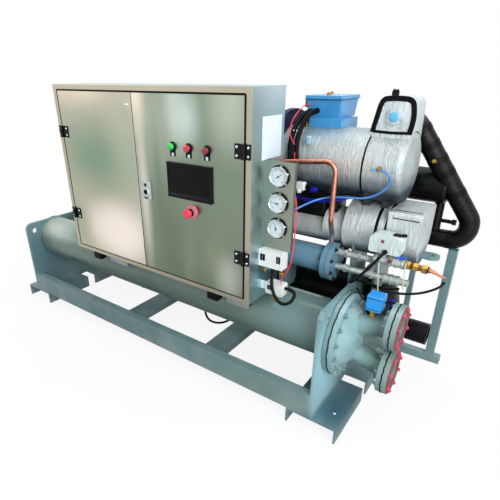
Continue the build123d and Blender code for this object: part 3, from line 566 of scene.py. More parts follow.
FINISH = {
    "skid": skid_enamel(),
    "vessel": vessel_enamel(),
    "head": water_head_enamel(),
    "painted_bolt": enamel("painted_bolt", paint(112, 142, 144), chip_amount=0.4, dust=0.01,
                           shine=0.36).material,
    "drier": enamel("drier_enamel", paint(98, 138, 160), chip_amount=0.12, dust=0.05, shine=0.33).material,
    "cabinet": cabinet_side_steel(),
    # Warm tone on the door frame: a painted reflection, as on the doors.
    "frame": brushed_steel("door_frame_stainless", paint(184, 176, 156), shine=0.34).material,
    "left_door": left_door_steel(),
    "right_door": right_door_steel(),
    "panel": brushed_steel("panel_stainless", paint(150, 158, 146), shine=0.36).material,
    # The compressor's foil darkens below z 1090 as painted shade, with a blue-grey painted shadow under the
    # terminal box, a near-black painted shade at its lower front, a warm painted highlight at mid-height and
    # a pale painted light on its right end.
    "foil_drum": wound_foil("compressor_foil", paint(184, 192, 192), under=(1090, 1000),
                            patches=[((800, 30, 1235), (230, 150, 80), paint(96, 132, 152), 0.85),
                                     ((720, -30, 1010), (170, 110, 70), paint(18, 34, 46), 0.9),
                                     ((980, -40, 1120), (160, 60, 90), paint(206, 200, 188), 0.5),
                                     ((1170, 60, 1120), (60, 140, 110), paint(214, 228, 230), 0.6)]),
    # The separator's and the neck's lower sides darken as painted shade; the neck's front carries a
    # near-white painted highlight.
    "foil_separator": wound_foil("separator_foil", paint(208, 216, 216), under=(790, 715), scale=80.0),
    "foil_neck": wound_foil("neck_foil", paint(200, 206, 204), under=(770, 722), scale=150.0, metallic=0.25,
                            patches=[((905, 20, 810), (110, 140, 120), paint(240, 246, 246), 0.9)]),
    "foil_hood": wound_foil("hood_foil", paint(204, 214, 216), scale=70.0),
    "foil_fine": wound_foil("valve_foil", paint(190, 198, 194), shine=0.34, scale=160.0),
    "foil_lump": wound_foil("actuator_foil", paint(214, 230, 226), shine=0.55, scale=60.0, metallic=0.15),
    "foam": foam_skin("foam_black", paint(5, 6, 9)),
    "tape": moulded_plastic("black_tape", paint(6, 5, 8), shine=0.4, gloss=0.12),
    "motor": enamel("motor_blue", paint(9, 16, 54), chip_amount=0.1, dust=0.01, shine=0.42,
                    gloss=0.15).material,
    "box_blue": enamel("terminal_blue", paint(70, 154, 212), chip_amount=0.08, dust=0.01,
                       shine=0.34).material,
    "cap_blue": moulded_plastic("cap_blue", paint(108, 182, 220)),
    "pale_blue": moulded_plastic("pale_blue", paint(150, 184, 206), shine=0.4),
    "switch_blue": moulded_plastic("switch_blue", paint(40, 146, 224), shine=0.35),
    "deep_blue": moulded_plastic("deep_blue", paint(22, 26, 168), shine=0.4, gloss=0.3),
    "deep_navy": moulded_plastic("deep_navy", paint(8, 12, 34), shine=0.2, gloss=0.2),
    "hose_blue": moulded_plastic("hose_blue", paint(70, 140, 216), shine=0.3),
    "black_steel": enamel("hinge_black", paint(8, 8, 9), chip_amount=0.2, dust=0.01, shine=0.4,
                          gloss=0.16).material,
    "grey_plastic": moulded_plastic("lock_grey", paint(188, 194, 194), shine=0.35),
    "black_plastic": moulded_plastic("plain_black", paint(6, 6, 8), gloss=0.14),
    "white_plastic": moulded_plastic("switch_white", paint(232, 234, 232), shine=0.38, speck=0.06),
    "card": moulded_plastic("blank_card", paint(222, 234, 244), shine=0.5, speck=0.05),
    "dial": moulded_plastic("dial_white", paint(214, 226, 232), shine=0.3, speck=0.06, coat=0.5),
    "ink": moulded_plastic("dial_ink", paint(40, 48, 58), shine=0.5),
    "red_plastic": moulded_plastic("stop_red", paint(236, 62, 84), shine=0.28, speck=0.1),
    "collar": moulded_plastic("collar_rose", paint(214, 118, 134), shine=0.35, speck=0.1),
    "lens_green": moulded_plastic("lens_green", paint(20, 200, 70), shine=0.18, speck=0.2, coat=0.6),
    "lens_red": moulded_plastic("lens_red", paint(206, 34, 58), shine=0.18, speck=0.2, coat=0.6),
    "lens_dark": moulded_plastic("lens_dark_red", paint(130, 22, 40), shine=0.18, speck=0.25, coat=0.6),
    "wire_red": moulded_plastic("wire_red", paint(238, 50, 66), shine=0.35, speck=0.1),
    "primer_red": enamel("flange_red", paint(190, 74, 94), chip_amount=0.4, dust=0.01,
                         shine=0.45).material,
    # A darker copy of the flange red for the red caps' faces, partly painted shade between the nuts.
    "deep_red": enamel("flange_deep_red", paint(112, 34, 48), chip_amount=0.4, dust=0.01,
                       shine=0.5).material,
    "painted_copper": copper_tube(),
    "copper": drawn_metal("copper_tube", paint(214, 138, 112), paint(160, 92, 72)),
    "brass": drawn_metal("brass_fitting", paint(176, 142, 76), paint(70, 50, 24)),
    "bright": drawn_metal("bright_steel", paint(206, 210, 212), paint(120, 122, 122), shine=0.22),
    "dark_bolt": drawn_metal("dark_bolt", paint(70, 78, 82), paint(36, 36, 36), shine=0.4),
    "galvanised": galvanised_zinc("galvanised"),
    "rubber": moulded_plastic("rubber_black", paint(6, 6, 7), shine=0.5, gloss=0.12),
    "handle_blue": moulded_plastic("handle_blue", paint(44, 92, 214), shine=0.3),
    "tie": moulded_plastic("cable_tie", paint(216, 222, 206), shine=0.4, speck=0.1),
    "screen": screen_glass(),
}

NODE_FINISH = {
    "skid": ["cross_members", "left_end_plate", "right_end_plate", "left_feet", "right_feet", "side_beams",
             "rear_post_frame", "vessel_saddles"],
    "vessel": ["condenser_left_end", "condenser_shell"],
    "head": ["condenser_water_head", "nozzle_counter_flanges"],
    "drier": ["filter_drier"],
    "cabinet": ["cabinet_back_panel", "cabinet_shell"],
    "frame": ["cabinet_front_frame"],
    "left_door": ["left_door"],
    "right_door": ["right_door"],
    "panel": ["gauge_panel"],
    "foil_drum": ["compressor_body"],
    "foil_separator": ["oil_separator_right_end", "oil_separator_shell"],
    "foil_neck": ["oil_separator_neck"],
    "foil_hood": ["suction_valve_hood", "suction_valve_cap"],
    "foil_fine": ["liquid_lines"],
    "foil_lump": ["valve_actuator"],
    "foam": ["evaporator_left_end", "evaporator_right_end", "evaporator_shell", "suction_header",
             "suction_pipe"],
    "motor": ["compressor_motor_end"],
    "box_blue": ["terminal_box", "terminal_box_base"],
    "switch_blue": ["flow_switch"],
    "black_steel": ["frame_hinges", "left_door_hinges", "right_door_hinges"],
    "grey_plastic": ["door_lock"],
    "black_plastic": ["lock_barrel", "pressure_gauges", "pilot_lights"],
    "white_plastic": ["pressure_switches"],
    "red_plastic": ["stop_button"],
    "collar": ["stop_button_collar"],
    "painted_copper": ["copper_pipe"],
    "brass": ["expansion_valve", "flow_switch_base"],
    "galvanised": ["cabinet_supports", "mounting_plate"],
    "rubber": ["support_pads", "nozzle_gaskets", "motor_conduits"],
    "handle_blue": ["valve_handle"],
    "screen": ["display_panel"],
}


def finish_nodes():
    for finish, names in NODE_FINISH.items():
        for name in names:
            NODES[name].data.materials.clear()
            NODES[name].data.materials.append(FINISH[finish])


# Mesh building. Points are in the part's metres; sizes of small pieces are given in millimetres.

def turned(bm, base, way, profile, steps=32):
    """Revolves (radius, distance) pairs, in millimetres, round a line from base along way."""
    way = Vector(way).normalized()
    side = way.orthogonal().normalized()
    other = way.cross(side)
    rings = []
    for radius, distance in profile:
        centre = base + way * distance / 1000
        if radius == 0:
            rings.append([bm.verts.new(centre)])
            continue
        rings.append([bm.verts.new(centre + (side * math.cos(a) + other * math.sin(a)) * radius / 1000)
                      for a in (2 * math.pi * i / steps for i in range(steps))])
    for low, high in zip(rings, rings[1:]):
        for i in range(steps):
            j = (i + 1) % steps
            corners = [low[i % len(low)], low[j % len(low)], high[j % len(high)], high[i % len(high)]]
            corners = list(dict.fromkeys(corners))
            if len(corners) > 2:
                bm.faces.new(corners)


def swept(bm, points, section, up, closed=False, scale=None):
    """Carries a closed section, (side, up) pairs in millimetres, along the points."""
    ways = []
    for i in range(len(points)):
        before = points[i - 1] if i or closed else points[i]
        after = points[(i + 1) % len(points)] if i < len(points) - 1 or closed else points[i]
        ways.append((after - before).normalized())
    up, last, rings = Vector(up), ways[0], []
    for i, (point, way) in enumerate(zip(points, ways)):
        up = last.rotation_difference(way) @ up
        up = (up - way * up.dot(way)).normalized()
        last = way
        times = scale(i) if scale else 1.0
        side = way.cross(up)
        rings.append([bm.verts.new(point + (side * a + up * b) * times / 1000) for a, b in section])
    count = len(section)
    pairs = list(zip(rings, rings[1:])) + ([(rings[-1], rings[0])] if closed else [])
    for low, high in pairs:
        for i in range(count):
            bm.faces.new((low[i], low[(i + 1) % count], high[(i + 1) % count], high[i]))
    if not closed:
        bm.faces.new(rings[0][::-1])
        bm.faces.new(rings[-1])


def circle(radius, steps=12):
    return [(radius * math.cos(2 * math.pi * i / steps), radius * math.sin(2 * math.pi * i / steps))
            for i in range(steps)]


def bar(half, low, high):
    """A flat section, half wide to each side, from low to high along its up direction."""
    return [(-half, low), (-half, high), (half, high), (half, low)]


def strip(width, thickness):
    """A flat band's section, its long edges slightly rounded."""
    w, t = width / 2, thickness / 2
    return [(-w, 0), (-w * 0.92, t), (w * 0.92, t), (w, 0), (w * 0.92, -t), (-w * 0.92, -t)]


def rounded_block(bm, low, high, radius, segments=3):
    """A block between two skid points in millimetres, with all its edges rounded."""
    low, high = at(*low), at(*high)
    made = bmesh.ops.create_cube(bm, size=1.0)["verts"]
    for vert in made:
        vert.co = Vector([a + (b - a) * (c + 0.5) for a, b, c in zip(low, high, vert.co)])
    edges = list({edge for vert in made for edge in vert.link_edges})
    bmesh.ops.bevel(bm, geom=edges, offset=radius / 1000, segments=segments, affect="EDGES", profile=0.5)


def ring_points(centre, radius, axis="x", steps=64, arc=(0.0, 360.0)):
    """Points round a circle in the plane across the axis, from skid millimetres."""
    x, y, z = centre
    count = steps if arc[1] - arc[0] >= 360 else steps + 1
    points = []
    for i in range(count):
        a = math.radians(arc[0] + (arc[1] - arc[0]) * i / steps)
        u, v = radius * math.cos(a), radius * math.sin(a)
        points.append(at(x, y + u, z + v) if axis == "x" else at(x + u, y, z + v))
    return points


def smooth_line(points):
    """The NURBS line that has these skid points as its control points, as close vertices."""
    data = bpy.data.curves.new("line", "CURVE")
    data.dimensions, data.resolution_u = "3D", 10
    fill_spline(data, points)
    holder = bpy.data.objects.new("line", data)
    mesh = bpy.data.meshes.new_from_object(holder)
    line = [v.co.copy() for v in mesh.vertices]
    bpy.data.objects.remove(holder)
    bpy.data.meshes.remove(mesh)
    return line


def fill_spline(data, points):
    """The smooth open spline whose control points are the route's own."""
    spline = data.splines.new("NURBS")
    spline.points.add(len(points) - 1)
    for point, place in zip(spline.points, points):
        point.co = (*at(*place), 1.0)
    spline.order_u = 3
    spline.use_endpoint_u = True


def wire(bm, points, radius, up=(0, 0, 1), steps=12, scale=None):
    """A round wire along the smooth line of these skid points."""
    swept(bm, smooth_line(points), circle(radius, steps), up, scale=scale)


def turned_piece(name, finish, parts, body="chiller", sharp=35):
    """A piece made of turned parts only: (skid point, way, profile, steps) each."""
    bm = bmesh.new()
    for place, way, profile, steps in parts:
        turned(bm, at(*place), way, profile, steps)
    return piece(name, bm, finish, body, sharp)


def piece(name, bm, finish, body="chiller", sharp=35):
    """Makes the mesh an object with its finish and body. sharp is the angle of its hard edges."""
    bmesh.ops.recalc_face_normals(bm, faces=bm.faces)
    mesh = bpy.data.meshes.new(name)
    bm.to_mesh(mesh)
    bm.free()
    mesh.shade_smooth()
    mesh.set_sharp_from_angle(angle=math.radians(sharp))
    mesh.materials.append(FINISH[finish])
    made = bpy.data.objects.new(name, mesh)
    SCENE.collection.objects.link(made)
    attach(made, body)
    return made


# Bolts and screws, instanced by Geometry Nodes and then made plain

def start_pattern(name, inputs):
    """A Geometry Nodes group that takes and gives a geometry, with these named inputs."""
    return start_group(name, [("Geometry", "Geometry", None), *inputs], [("Geometry", "Geometry")],
                       "GeometryNodeTree")


def end_pattern(tree, placed, finish, out):
    real = node(tree, "GeometryNodeRealizeInstances", {"Geometry": placed.outputs[0]})
    done = node(tree, "GeometryNodeSetMaterial", {"Geometry": real.outputs[0], "Material": FINISH[finish]})
    tree.links.new(done.outputs[0], out["Geometry"])
    return tree


def hex_bolt_ring():
    """Bolt heads on washers round a circle in the xy plane, heads up."""
    tree, given, out = start_pattern("hex_bolt_ring", [
        ("Bolts", "Int", 8), ("Circle Radius", "Float", 0.08), ("Head Radius", "Float", 0.01),
        ("Head Height", "Float", 0.008), ("Washer Radius", "Float", 0.014), ("Stud Height", "Float", 0.012),
        ("Start Angle", "Float", 0.0)])
    ring = node(tree, "GeometryNodeMeshCircle", {"Vertices": given["Bolts"],
                                                 "Radius": given["Circle Radius"]})
    turn = node(tree, "ShaderNodeCombineXYZ", {"Z": given["Start Angle"]})
    ring = node(tree, "GeometryNodeTransform", {"Geometry": ring.outputs[0], "Rotation": turn.outputs[0]})

    def disc(sides, radius, height, base):
        made = node(tree, "GeometryNodeMeshCylinder", {"Vertices": sides, "Radius": radius, "Depth": height})
        middle = maths(tree, "ADD", base, maths(tree, "MULTIPLY", height, 0.5))
        lift = node(tree, "ShaderNodeCombineXYZ", {"Z": middle})
        return node(tree, "GeometryNodeTransform", {"Geometry": made.outputs["Mesh"],
                                                    "Translation": lift.outputs[0]}).outputs[0]

    washer_height = maths(tree, "MULTIPLY", given["Head Height"], 0.3)
    bolt = tree.nodes.new("GeometryNodeJoinGeometry")
    for part in (disc(20, given["Washer Radius"], washer_height, 0.0),
                 disc(6, given["Head Radius"], given["Head Height"], washer_height),
                 disc(12, maths(tree, "MULTIPLY", given["Head Radius"], 0.55), given["Stud Height"],
                      washer_height)):
        tree.links.new(part, bolt.inputs[0])
    spin = node(tree, "FunctionNodeRandomValue", data_type="FLOAT_VECTOR")
    spin.inputs[1].default_value = (0, 0, 2 * math.pi)
    spin.inputs["Seed"].default_value = 7
    placed = node(tree, "GeometryNodeInstanceOnPoints", {"Points": ring.outputs[0],
                                                         "Instance": bolt.outputs[0]})
    tree.links.new(spin.outputs[0], placed.inputs["Rotation"])
    return end_pattern(tree, placed, "dark_bolt", out)


def panel_screws():
    """A pan head screw on each point given, its head along z."""
    tree, given, out = start_pattern("panel_screws", [("Head Radius", "Float", 0.004),
                                                      ("Head Height", "Float", 0.0025)])

    def frustum(low, high, depth):
        """A cone's stump, its radii and depth as shares of the head's."""
        low, high = (maths(tree, "MULTIPLY", given["Head Radius"], share) for share in (low, high))
        return node(tree, "GeometryNodeMeshCone", {
            "Vertices": 18, "Radius Top": high, "Radius Bottom": low,
            "Depth": maths(tree, "MULTIPLY", given["Head Height"], depth)})

    rim, crown = frustum(1.0, 0.8, 0.7), frustum(0.8, 0.35, 0.3)
    lift = node(tree, "ShaderNodeCombineXYZ", {"Z": maths(tree, "MULTIPLY", given["Head Height"], 0.7)})
    crown = node(tree, "GeometryNodeTransform", {"Geometry": crown.outputs["Mesh"],
                                                 "Translation": lift.outputs[0]})
    screw = tree.nodes.new("GeometryNodeJoinGeometry")
    tree.links.new(rim.outputs["Mesh"], screw.inputs[0])
    tree.links.new(crown.outputs[0], screw.inputs[0])
    placed = node(tree, "GeometryNodeInstanceOnPoints", {"Points": given["Geometry"],
                                                         "Instance": screw.outputs[0]})
    return end_pattern(tree, placed, "bright", out)


def dial_marks():
    """Short bars round an open arc in the xy plane, each pointing at the middle."""
    tree, given, out = start_pattern("dial_marks", [
        ("Marks", "Int", 25), ("Circle Radius", "Float", 0.028), ("Length", "Float", 0.005),
        ("Width", "Float", 0.0009), ("Thickness", "Float", 0.0004)])
    arc = node(tree, "GeometryNodeCurveArc", {
        "Resolution": given["Marks"], "Radius": given["Circle Radius"],
        "Start Angle": math.radians(-45), "Sweep Angle": math.radians(270)})
    place = tree.nodes.new("GeometryNodeInputPosition")
    inward = node(tree, "FunctionNodeAlignRotationToVector", {"Vector": place.outputs[0]}, axis="X")
    size = node(tree, "ShaderNodeCombineXYZ", {"X": given["Length"], "Y": given["Width"],
                                               "Z": given["Thickness"]})
    mark = node(tree, "GeometryNodeMeshCube", {"Size": size.outputs[0]})
    placed = node(tree, "GeometryNodeInstanceOnPoints", {
        "Points": arc.outputs[0], "Instance": mark.outputs["Mesh"], "Rotation": inward.outputs[0]})
    return end_pattern(tree, placed, "ink", out)


def repeated(tree, points=(), **values):
    """The tree's mesh for these inputs, from the given points if it places things on points."""
    seed = bpy.data.meshes.new("repeat_points")
    seed.from_pydata([tuple(p) for p in points] or [(0, 0, 0)], [], [])
    holder = bpy.data.objects.new("repeat_points", seed)
    SCENE.collection.objects.link(holder)
    pattern = holder.modifiers.new("repeat", "NODES")
    pattern.node_group = tree
    for item in tree.interface.items_tree:
        key = item.name.replace(" ", "_").lower()
        if item.item_type == "SOCKET" and item.in_out == "INPUT" and key in values:
            pattern[item.identifier] = values[key]
    graph = bpy.context.evaluated_depsgraph_get()
    mesh = bpy.data.meshes.new_from_object(holder.evaluated_get(graph))
    bpy.data.objects.remove(holder)
    bpy.data.meshes.remove(seed)
    return mesh


def facing(place, way):
    """Turns a pattern's z axis to way and moves it to place."""
    return Matrix.Translation(place) @ Vector(way).to_track_quat("Z", "Y").to_matrix().to_4x4()


def add_repeated(bm, mesh, matrix):
    """Moves a pattern's mesh by the matrix into the piece being built."""
    mesh.transform(matrix)
    bm.from_mesh(mesh)
    bpy.data.meshes.remove(mesh)


def bolt_circles(name, circles, finish="dark_bolt"):
    """circles: (centre in skid mm, way, bolts, circle radius, head radius, head height, start angle)."""
    bm = bmesh.new()
    for centre, way, bolts, circle_radius, head, height, start in circles:
        mesh = repeated(BOLTS, bolts=bolts, circle_radius=circle_radius / 1000, head_radius=head / 1000,
                        head_height=height / 1000, washer_radius=head * 1.35 / 1000,
                        stud_height=height * 1.5 / 1000, start_angle=math.radians(start))
        add_repeated(bm, mesh, facing(at(*centre), way))
    return piece(name, bm, finish)


def screws(name, way, points, body="chiller", head=4.0, height=2.5):
    """Screw heads at skid points, all facing the same way."""
    turn = Vector(way).to_track_quat("Z", "Y").to_matrix().to_4x4()
    local = [turn.inverted() @ at(*p) for p in points]
    mesh = repeated(SCREWS, points=local, head_radius=head / 1000, head_height=height / 1000)
    bm = bmesh.new()
    add_repeated(bm, mesh, turn)
    return piece(name, bm, "bright", body)


# Free cables and tubes. They come first, on the routes of their solids.

CONTROL_ROUTE = [(800, -333, 722), (800, -333, 690), (811, -359, 652), (833, -368, 606), (866, -370, 578),
                 (901, -358, 588), (915, -340, 618), (898, -323, 632), (858, -323, 632)]
ACTUATOR_ROUTE = [(1181, -98, 800), (1181, -134, 800), (1150, -150, 750), (1101, -142, 680),
                  (1070, -132, 642), (1050, -98, 632), (1062, -60, 628), (1100, -35, 615), (1150, -8, 588),
                  (1205, 50, 556), (1250, 130, 528), (1305, 205, 518), (1366, 285, 535), (1366, 337, 535)]
BLUE_ROUTE = [(1096, -46.5, 1112), (1101, -66, 1114), (1128, -70, 1110), (1151, -66, 1088),
              (1146, -62, 1058), (1117, -60, 1021), (1060, -60, 991), (996, -60, 986), (909, -61, 976),
              (862, -84, 962), (836, -134, 950), (830, -210, 946), (831, -280, 950), (831, -328, 950)]
CABINET_ROUTE = [(190, -191, 604), (190, -150, 604), (198, -92, 582), (209, -50, 520), (220, -36, 440),
                 (226, -44, 355), (236, -90, 282), (262, -145, 236), (306, -178, 213), (352, -186, 208),
                 (406, -180, 219), (452, -158, 245), (483, -112, 286), (499, -62, 345), (508, -30, 420),
                 (515, -8, 488), (524, 8, 548), (482, 8, 548)]
RED_ROUTE = [(878, -318, 1028), (883, -318, 1004), (888, -322, 960), (890, -326, 900), (889, -330, 840),
             (887, -332, 790), (881, -330, 748), (866, -326, 716), (848, -322, 690), (838, -322, 672),
             (836, -322, 650)]
CONDUIT_ROUTES = [[(716 + dx, 101, 1302 + dz), (714 + dx, 44, 1300 + dz), (701 + dx, 0, 1262 + dz),
                   (698 + dx, -46, 1200), (708 + dx, -64, 1130), (712 + dx, -66, 1050),
                   (702 + dx, -104, 1000 - dz), (692 + dx, -154, 988 - dz), (692 + dx, -191, 988 - dz)]
                  for dx, dz in ((0, 0), (30, 4))]
CONDUIT_RIBS = (1.0, 0.96, 0.84, 0.96)
RIB_STEP = 0.0022


def free_cord(name, points, radius, finish, nodes):
    """A cord along skid points; radius in millimetres, nodes the solids that it replaces."""
    data = bpy.data.curves.new(name, "CURVE")
    data.dimensions, data.resolution_u = "3D", 12
    data.bevel_depth, data.bevel_resolution, data.use_fill_caps = radius / 1000, 4, True
    fill_spline(data, points)
    data.materials.append(FINISH[finish])
    made = bpy.data.objects.new(name, data)
    SCENE.collection.objects.link(made)
    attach(made, "chiller")
    if nodes:
        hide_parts(*nodes)


def lay_cords():
    free_cord("control_cable", CONTROL_ROUTE, 7, "black_plastic",
              ["control_conduit"])
    free_cord("actuator_lead", ACTUATOR_ROUTE, 6, "black_plastic",
              ["actuator_cable"])
    free_cord("blue_air_tube", BLUE_ROUTE, 4, "hose_blue", ["blue_tube"])
    free_cord("condenser_loop_cable", CABINET_ROUTE, 6, "black_plastic",
              ["cabinet_cable"])
    free_cord("red_wire", RED_ROUTE, 2.4, "wire_red", [])


def wrap_conduits():
    """Corrugated conduits from the terminal box to the cabinet's back, held at both ends."""
    bm = bmesh.new()
    for route in CONDUIT_ROUTES:
        line = smooth_line(route)
        along = [line[0]]
        for a, b in zip(line, line[1:]):
            count = max(1, round((b - a).length / RIB_STEP))
            along += [a.lerp(b, i / count) for i in range(1, count + 1)]
        swept(bm, along, circle(12, 12), (0, 0, 1), scale=lambda i: CONDUIT_RIBS[i % 4])
    made = piece("ribbed_conduits", bm, "rubber", sharp=80)
    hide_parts("motor_conduits")


# Cabinet

def dress_doors():
    """Door seals, screws, the blank card, pilot lens caps, tag plates, display rim and stop button."""
    front = (0, -1, 0)
    bm = bmesh.new()
    x0, x1, z0, z1 = -407.0, 715.0, 581.0, 1390.0
    corners = [at(x, DOOR_FACE_Y - 0.4, z) for x, z in ((x0, z0), (x1, z0), (x1, z1), (x0, z1))]
    for a, b, w in zip(corners, corners[1:] + corners[:1], (2.6, 4.4, 4.0, 2.4)):
        swept(bm, [a, b], [(-w, -0.4), (0.4 - w, 0.7), (w - 0.4, 0.7), (w, -0.4)], front)
    piece("door_frame_seal", bm, "rubber")
    bm = bmesh.new()
    swept(bm, [at(122.5, DOOR_FACE_Y + 2, 586), at(122.5, DOOR_FACE_Y + 2, 1386)],
          [(-1.4, -1.5), (-1.4, 2.6), (1.0, 2.6), (1.0, -1.5)], front)
    piece("left_door_edge_bead", bm, "bright", "left_door")

    hinge_screws = {"left_door": [], "right_door": [], "chiller": []}
    for z in (750.0, 782.0, 1178.0, 1210.0):
        hinge_screws["chiller"] += [(-423, -429, z), (731, -429, z)]
        hinge_screws["left_door"].append((-372, -429, z))
        hinge_screws["right_door"].append((680, -429, z))
    for body, points in hinge_screws.items():
        screws(f"hinge_screws_{body}", front, points, body, head=5.5, height=2.4)
    screws("left_door_latch_screws", front, [(89, DOOR_FACE_Y, 1337), (101, DOOR_FACE_Y, 1337),
                                             (75, DOOR_FACE_Y, 643)], "left_door", head=5.0, height=2.5)
    screws("display_screws", front, [(x, -432, z) for z in (976, 1115) for x in (324, 555)], "right_door",
           head=1.8, height=0.8)
    bm = bmesh.new()
    rounded_block(bm, (744, -355, 1155), (745.4, -213, 1312), 0.6)
    piece("blank_side_card", bm, "card")

    lens = [(14.4, 7), (14.4, 17), (13.6, 19.4), (11, 21), (6, 22), (0, 22.3)]
    for x, side, finish in zip(LIGHTS_X, ("left", "middle", "right"),
                               ("lens_green", "lens_red", "lens_dark")):
        turned_piece(f"lens_{side}", finish, [((x, DOOR_FACE_Y, LIGHTS_Z), front, lens, 32)],
                     "right_door")
    bm, tags = bmesh.new(), bmesh.new()
    for x in LIGHTS_X:
        turned(bm, at(x, DOOR_FACE_Y, LIGHTS_Z), front,
               [(19.5, 0.2), (19.5, 2.4), (18.4, 4), (17.2, 8), (15.8, 9.4), (14.6, 9.6)])
        for left, right, low, high, out in ((-15, -6.5, -40, -15, 2.2), (6.5, 15, -40, -15, 2.2),
                                            (-15, 15, -25, -14, 2.4)):
            rounded_block(bm, (x + left, DOOR_FACE_Y - out, LIGHTS_Z + low),
                          (x + right, DOOR_FACE_Y - 0.2, LIGHTS_Z + high), 0.8)
        rounded_block(tags, (x - 6, DOOR_FACE_Y - 1.6, LIGHTS_Z - 39),
                      (x + 6, DOOR_FACE_Y - 0.2, LIGHTS_Z - 25.5), 0.5)
    piece("light_holders", bm, "black_plastic", "right_door")
    piece("light_blank_tags", tags, "card", "right_door")

    bm = bmesh.new()
    x0, x1, z0, z1 = 318.0, 561.0, 970.0, 1121.0
    corners = [at(x, DOOR_FACE_Y - 7, z) for x, z in ((x0 + 5, z0 + 5), (x1 - 5, z0 + 5), (x1 - 5, z1 - 5),
                                                     (x0 + 5, z1 - 5))]
    for a, b in zip(corners, corners[1:] + corners[:1]):
        way = (b - a).normalized() * 0.005
        swept(bm, [a - way, b + way], [(-5, -0.6), (-4.6, 1.2), (3.4, 1.8), (4.8, -0.2)], front)
    piece("display_rim", bm, "black_plastic", "right_door")
    bm = bmesh.new()
    rounded_block(bm, (x0 + 12, DOOR_FACE_Y - 7.8, z0 + 9), (x1 - 12, DOOR_FACE_Y - 6.6, z0 + 21), 0.5)
    piece("display_foot_strip", bm, "deep_navy", "right_door")

    stop = (STOP_X, DOOR_FACE_Y, STOP_Z)
    dish = [(30.4, 0.2), (30.6, 3.5), (29, 6), (19, 7.4), (17.5, 9.5), (14.6, 9.6)]
    turned_piece("stop_collar_dish", "collar", [(stop, front, dish, 40)], "right_door")
    bellows = [(14.4, 8)]
    for i in range(4):
        bellows += [(16.6, 9.5 + i * 3.2), (14.6, 11.2 + i * 3.2)]
    turned_piece("stop_neck_bellows", "black_plastic", [(stop, front, bellows, 28)],
                 "right_door")


def dress_lock():
    front = (0, -1, 0)
    turned_piece("lock_ring", "bright", [
        ((LOCK_X, DOOR_FACE_Y, 968), front,
         [(12.4, 8.8), (17.6, 8.8), (18.6, 9.8), (17.4, 11.2), (12.6, 11.2), (12.4, 8.8)], 32)],
        "right_door")
    bm = bmesh.new()
    turned(bm, at(LOCK_X, DOOR_FACE_Y, 1000), front, [(7.5, 8.8), (7.5, 10), (5.5, 10.6), (0, 10.6)], 24)
    rounded_block(bm, (166, DOOR_FACE_Y - 10.2, 938), (191, DOOR_FACE_Y - 8.8, 944), 0.6)
    piece("lock_details", bm, "black_plastic", "right_door")


# Gauges and pressure switches

def dress_gauges():
    """Dials with blank marks and hands, their bright rims and the clips round them."""
    face, front = PANEL_Y - 12, (0, -1, 0)
    faces, rims, marks, hands, clips = (bmesh.new() for _ in range(5))
    for z, swing in zip(GAUGE_HEIGHTS, (-0.2, -1.45, 0.95)):
        centre = at(GAUGE_X, PANEL_Y, z)
        turned(faces, centre, front, [(33.8, 12.1), (33.6, 12.6), (30, 12.8), (0, 12.8)], 40)
        turned(rims, centre, front, [(38.3, 6), (38.6, 13.5), (37.4, 16.2), (35.4, 16.8), (33.9, 15.6),
                                     (33.7, 12.2)], 44)
        for count, radius, length, width, thickness in ((26, 0.0275, 0.0042, 0.0008, 0.0004),
                                                        (6, 0.0255, 0.0076, 0.0014, 0.0005)):
            mesh = repeated(DIAL_MARKS, marks=count, circle_radius=radius, length=length, width=width,
                            thickness=thickness)
            add_repeated(marks, mesh, facing(at(GAUGE_X, face - 1.1, z), front))
        way = Vector((math.sin(swing), 0, math.cos(swing)))
        middle = at(GAUGE_X, face - 2.2, z)
        swept(hands, [middle - way * 0.009, middle, middle + way * 0.024], bar(1, -0.3, 0.3), front,
              scale=lambda i: (1.5, 1.2, 0.35)[i])
        turned(hands, at(GAUGE_X, face, z), front, [(3.4, 0.8), (3.4, 3), (2.2, 3.8), (0, 4)], 20)
        for k in range(6):
            a = math.radians(20 + 60 * k)
            out = Vector((math.cos(a), 0, math.sin(a)))
            spot = at(GAUGE_X, PANEL_Y - 5.4, z)
            swept(clips, [spot + out * 0.0375, spot + out * 0.0432], bar(3.4, -0.5, 0.8), front)
    piece("gauge_dials", faces, "dial")
    piece("gauge_bright_rims", rims, "bright")
    piece("gauge_marks", marks, "ink")
    piece("gauge_hands", hands, "ink")
    piece("gauge_clips", clips, "bright")


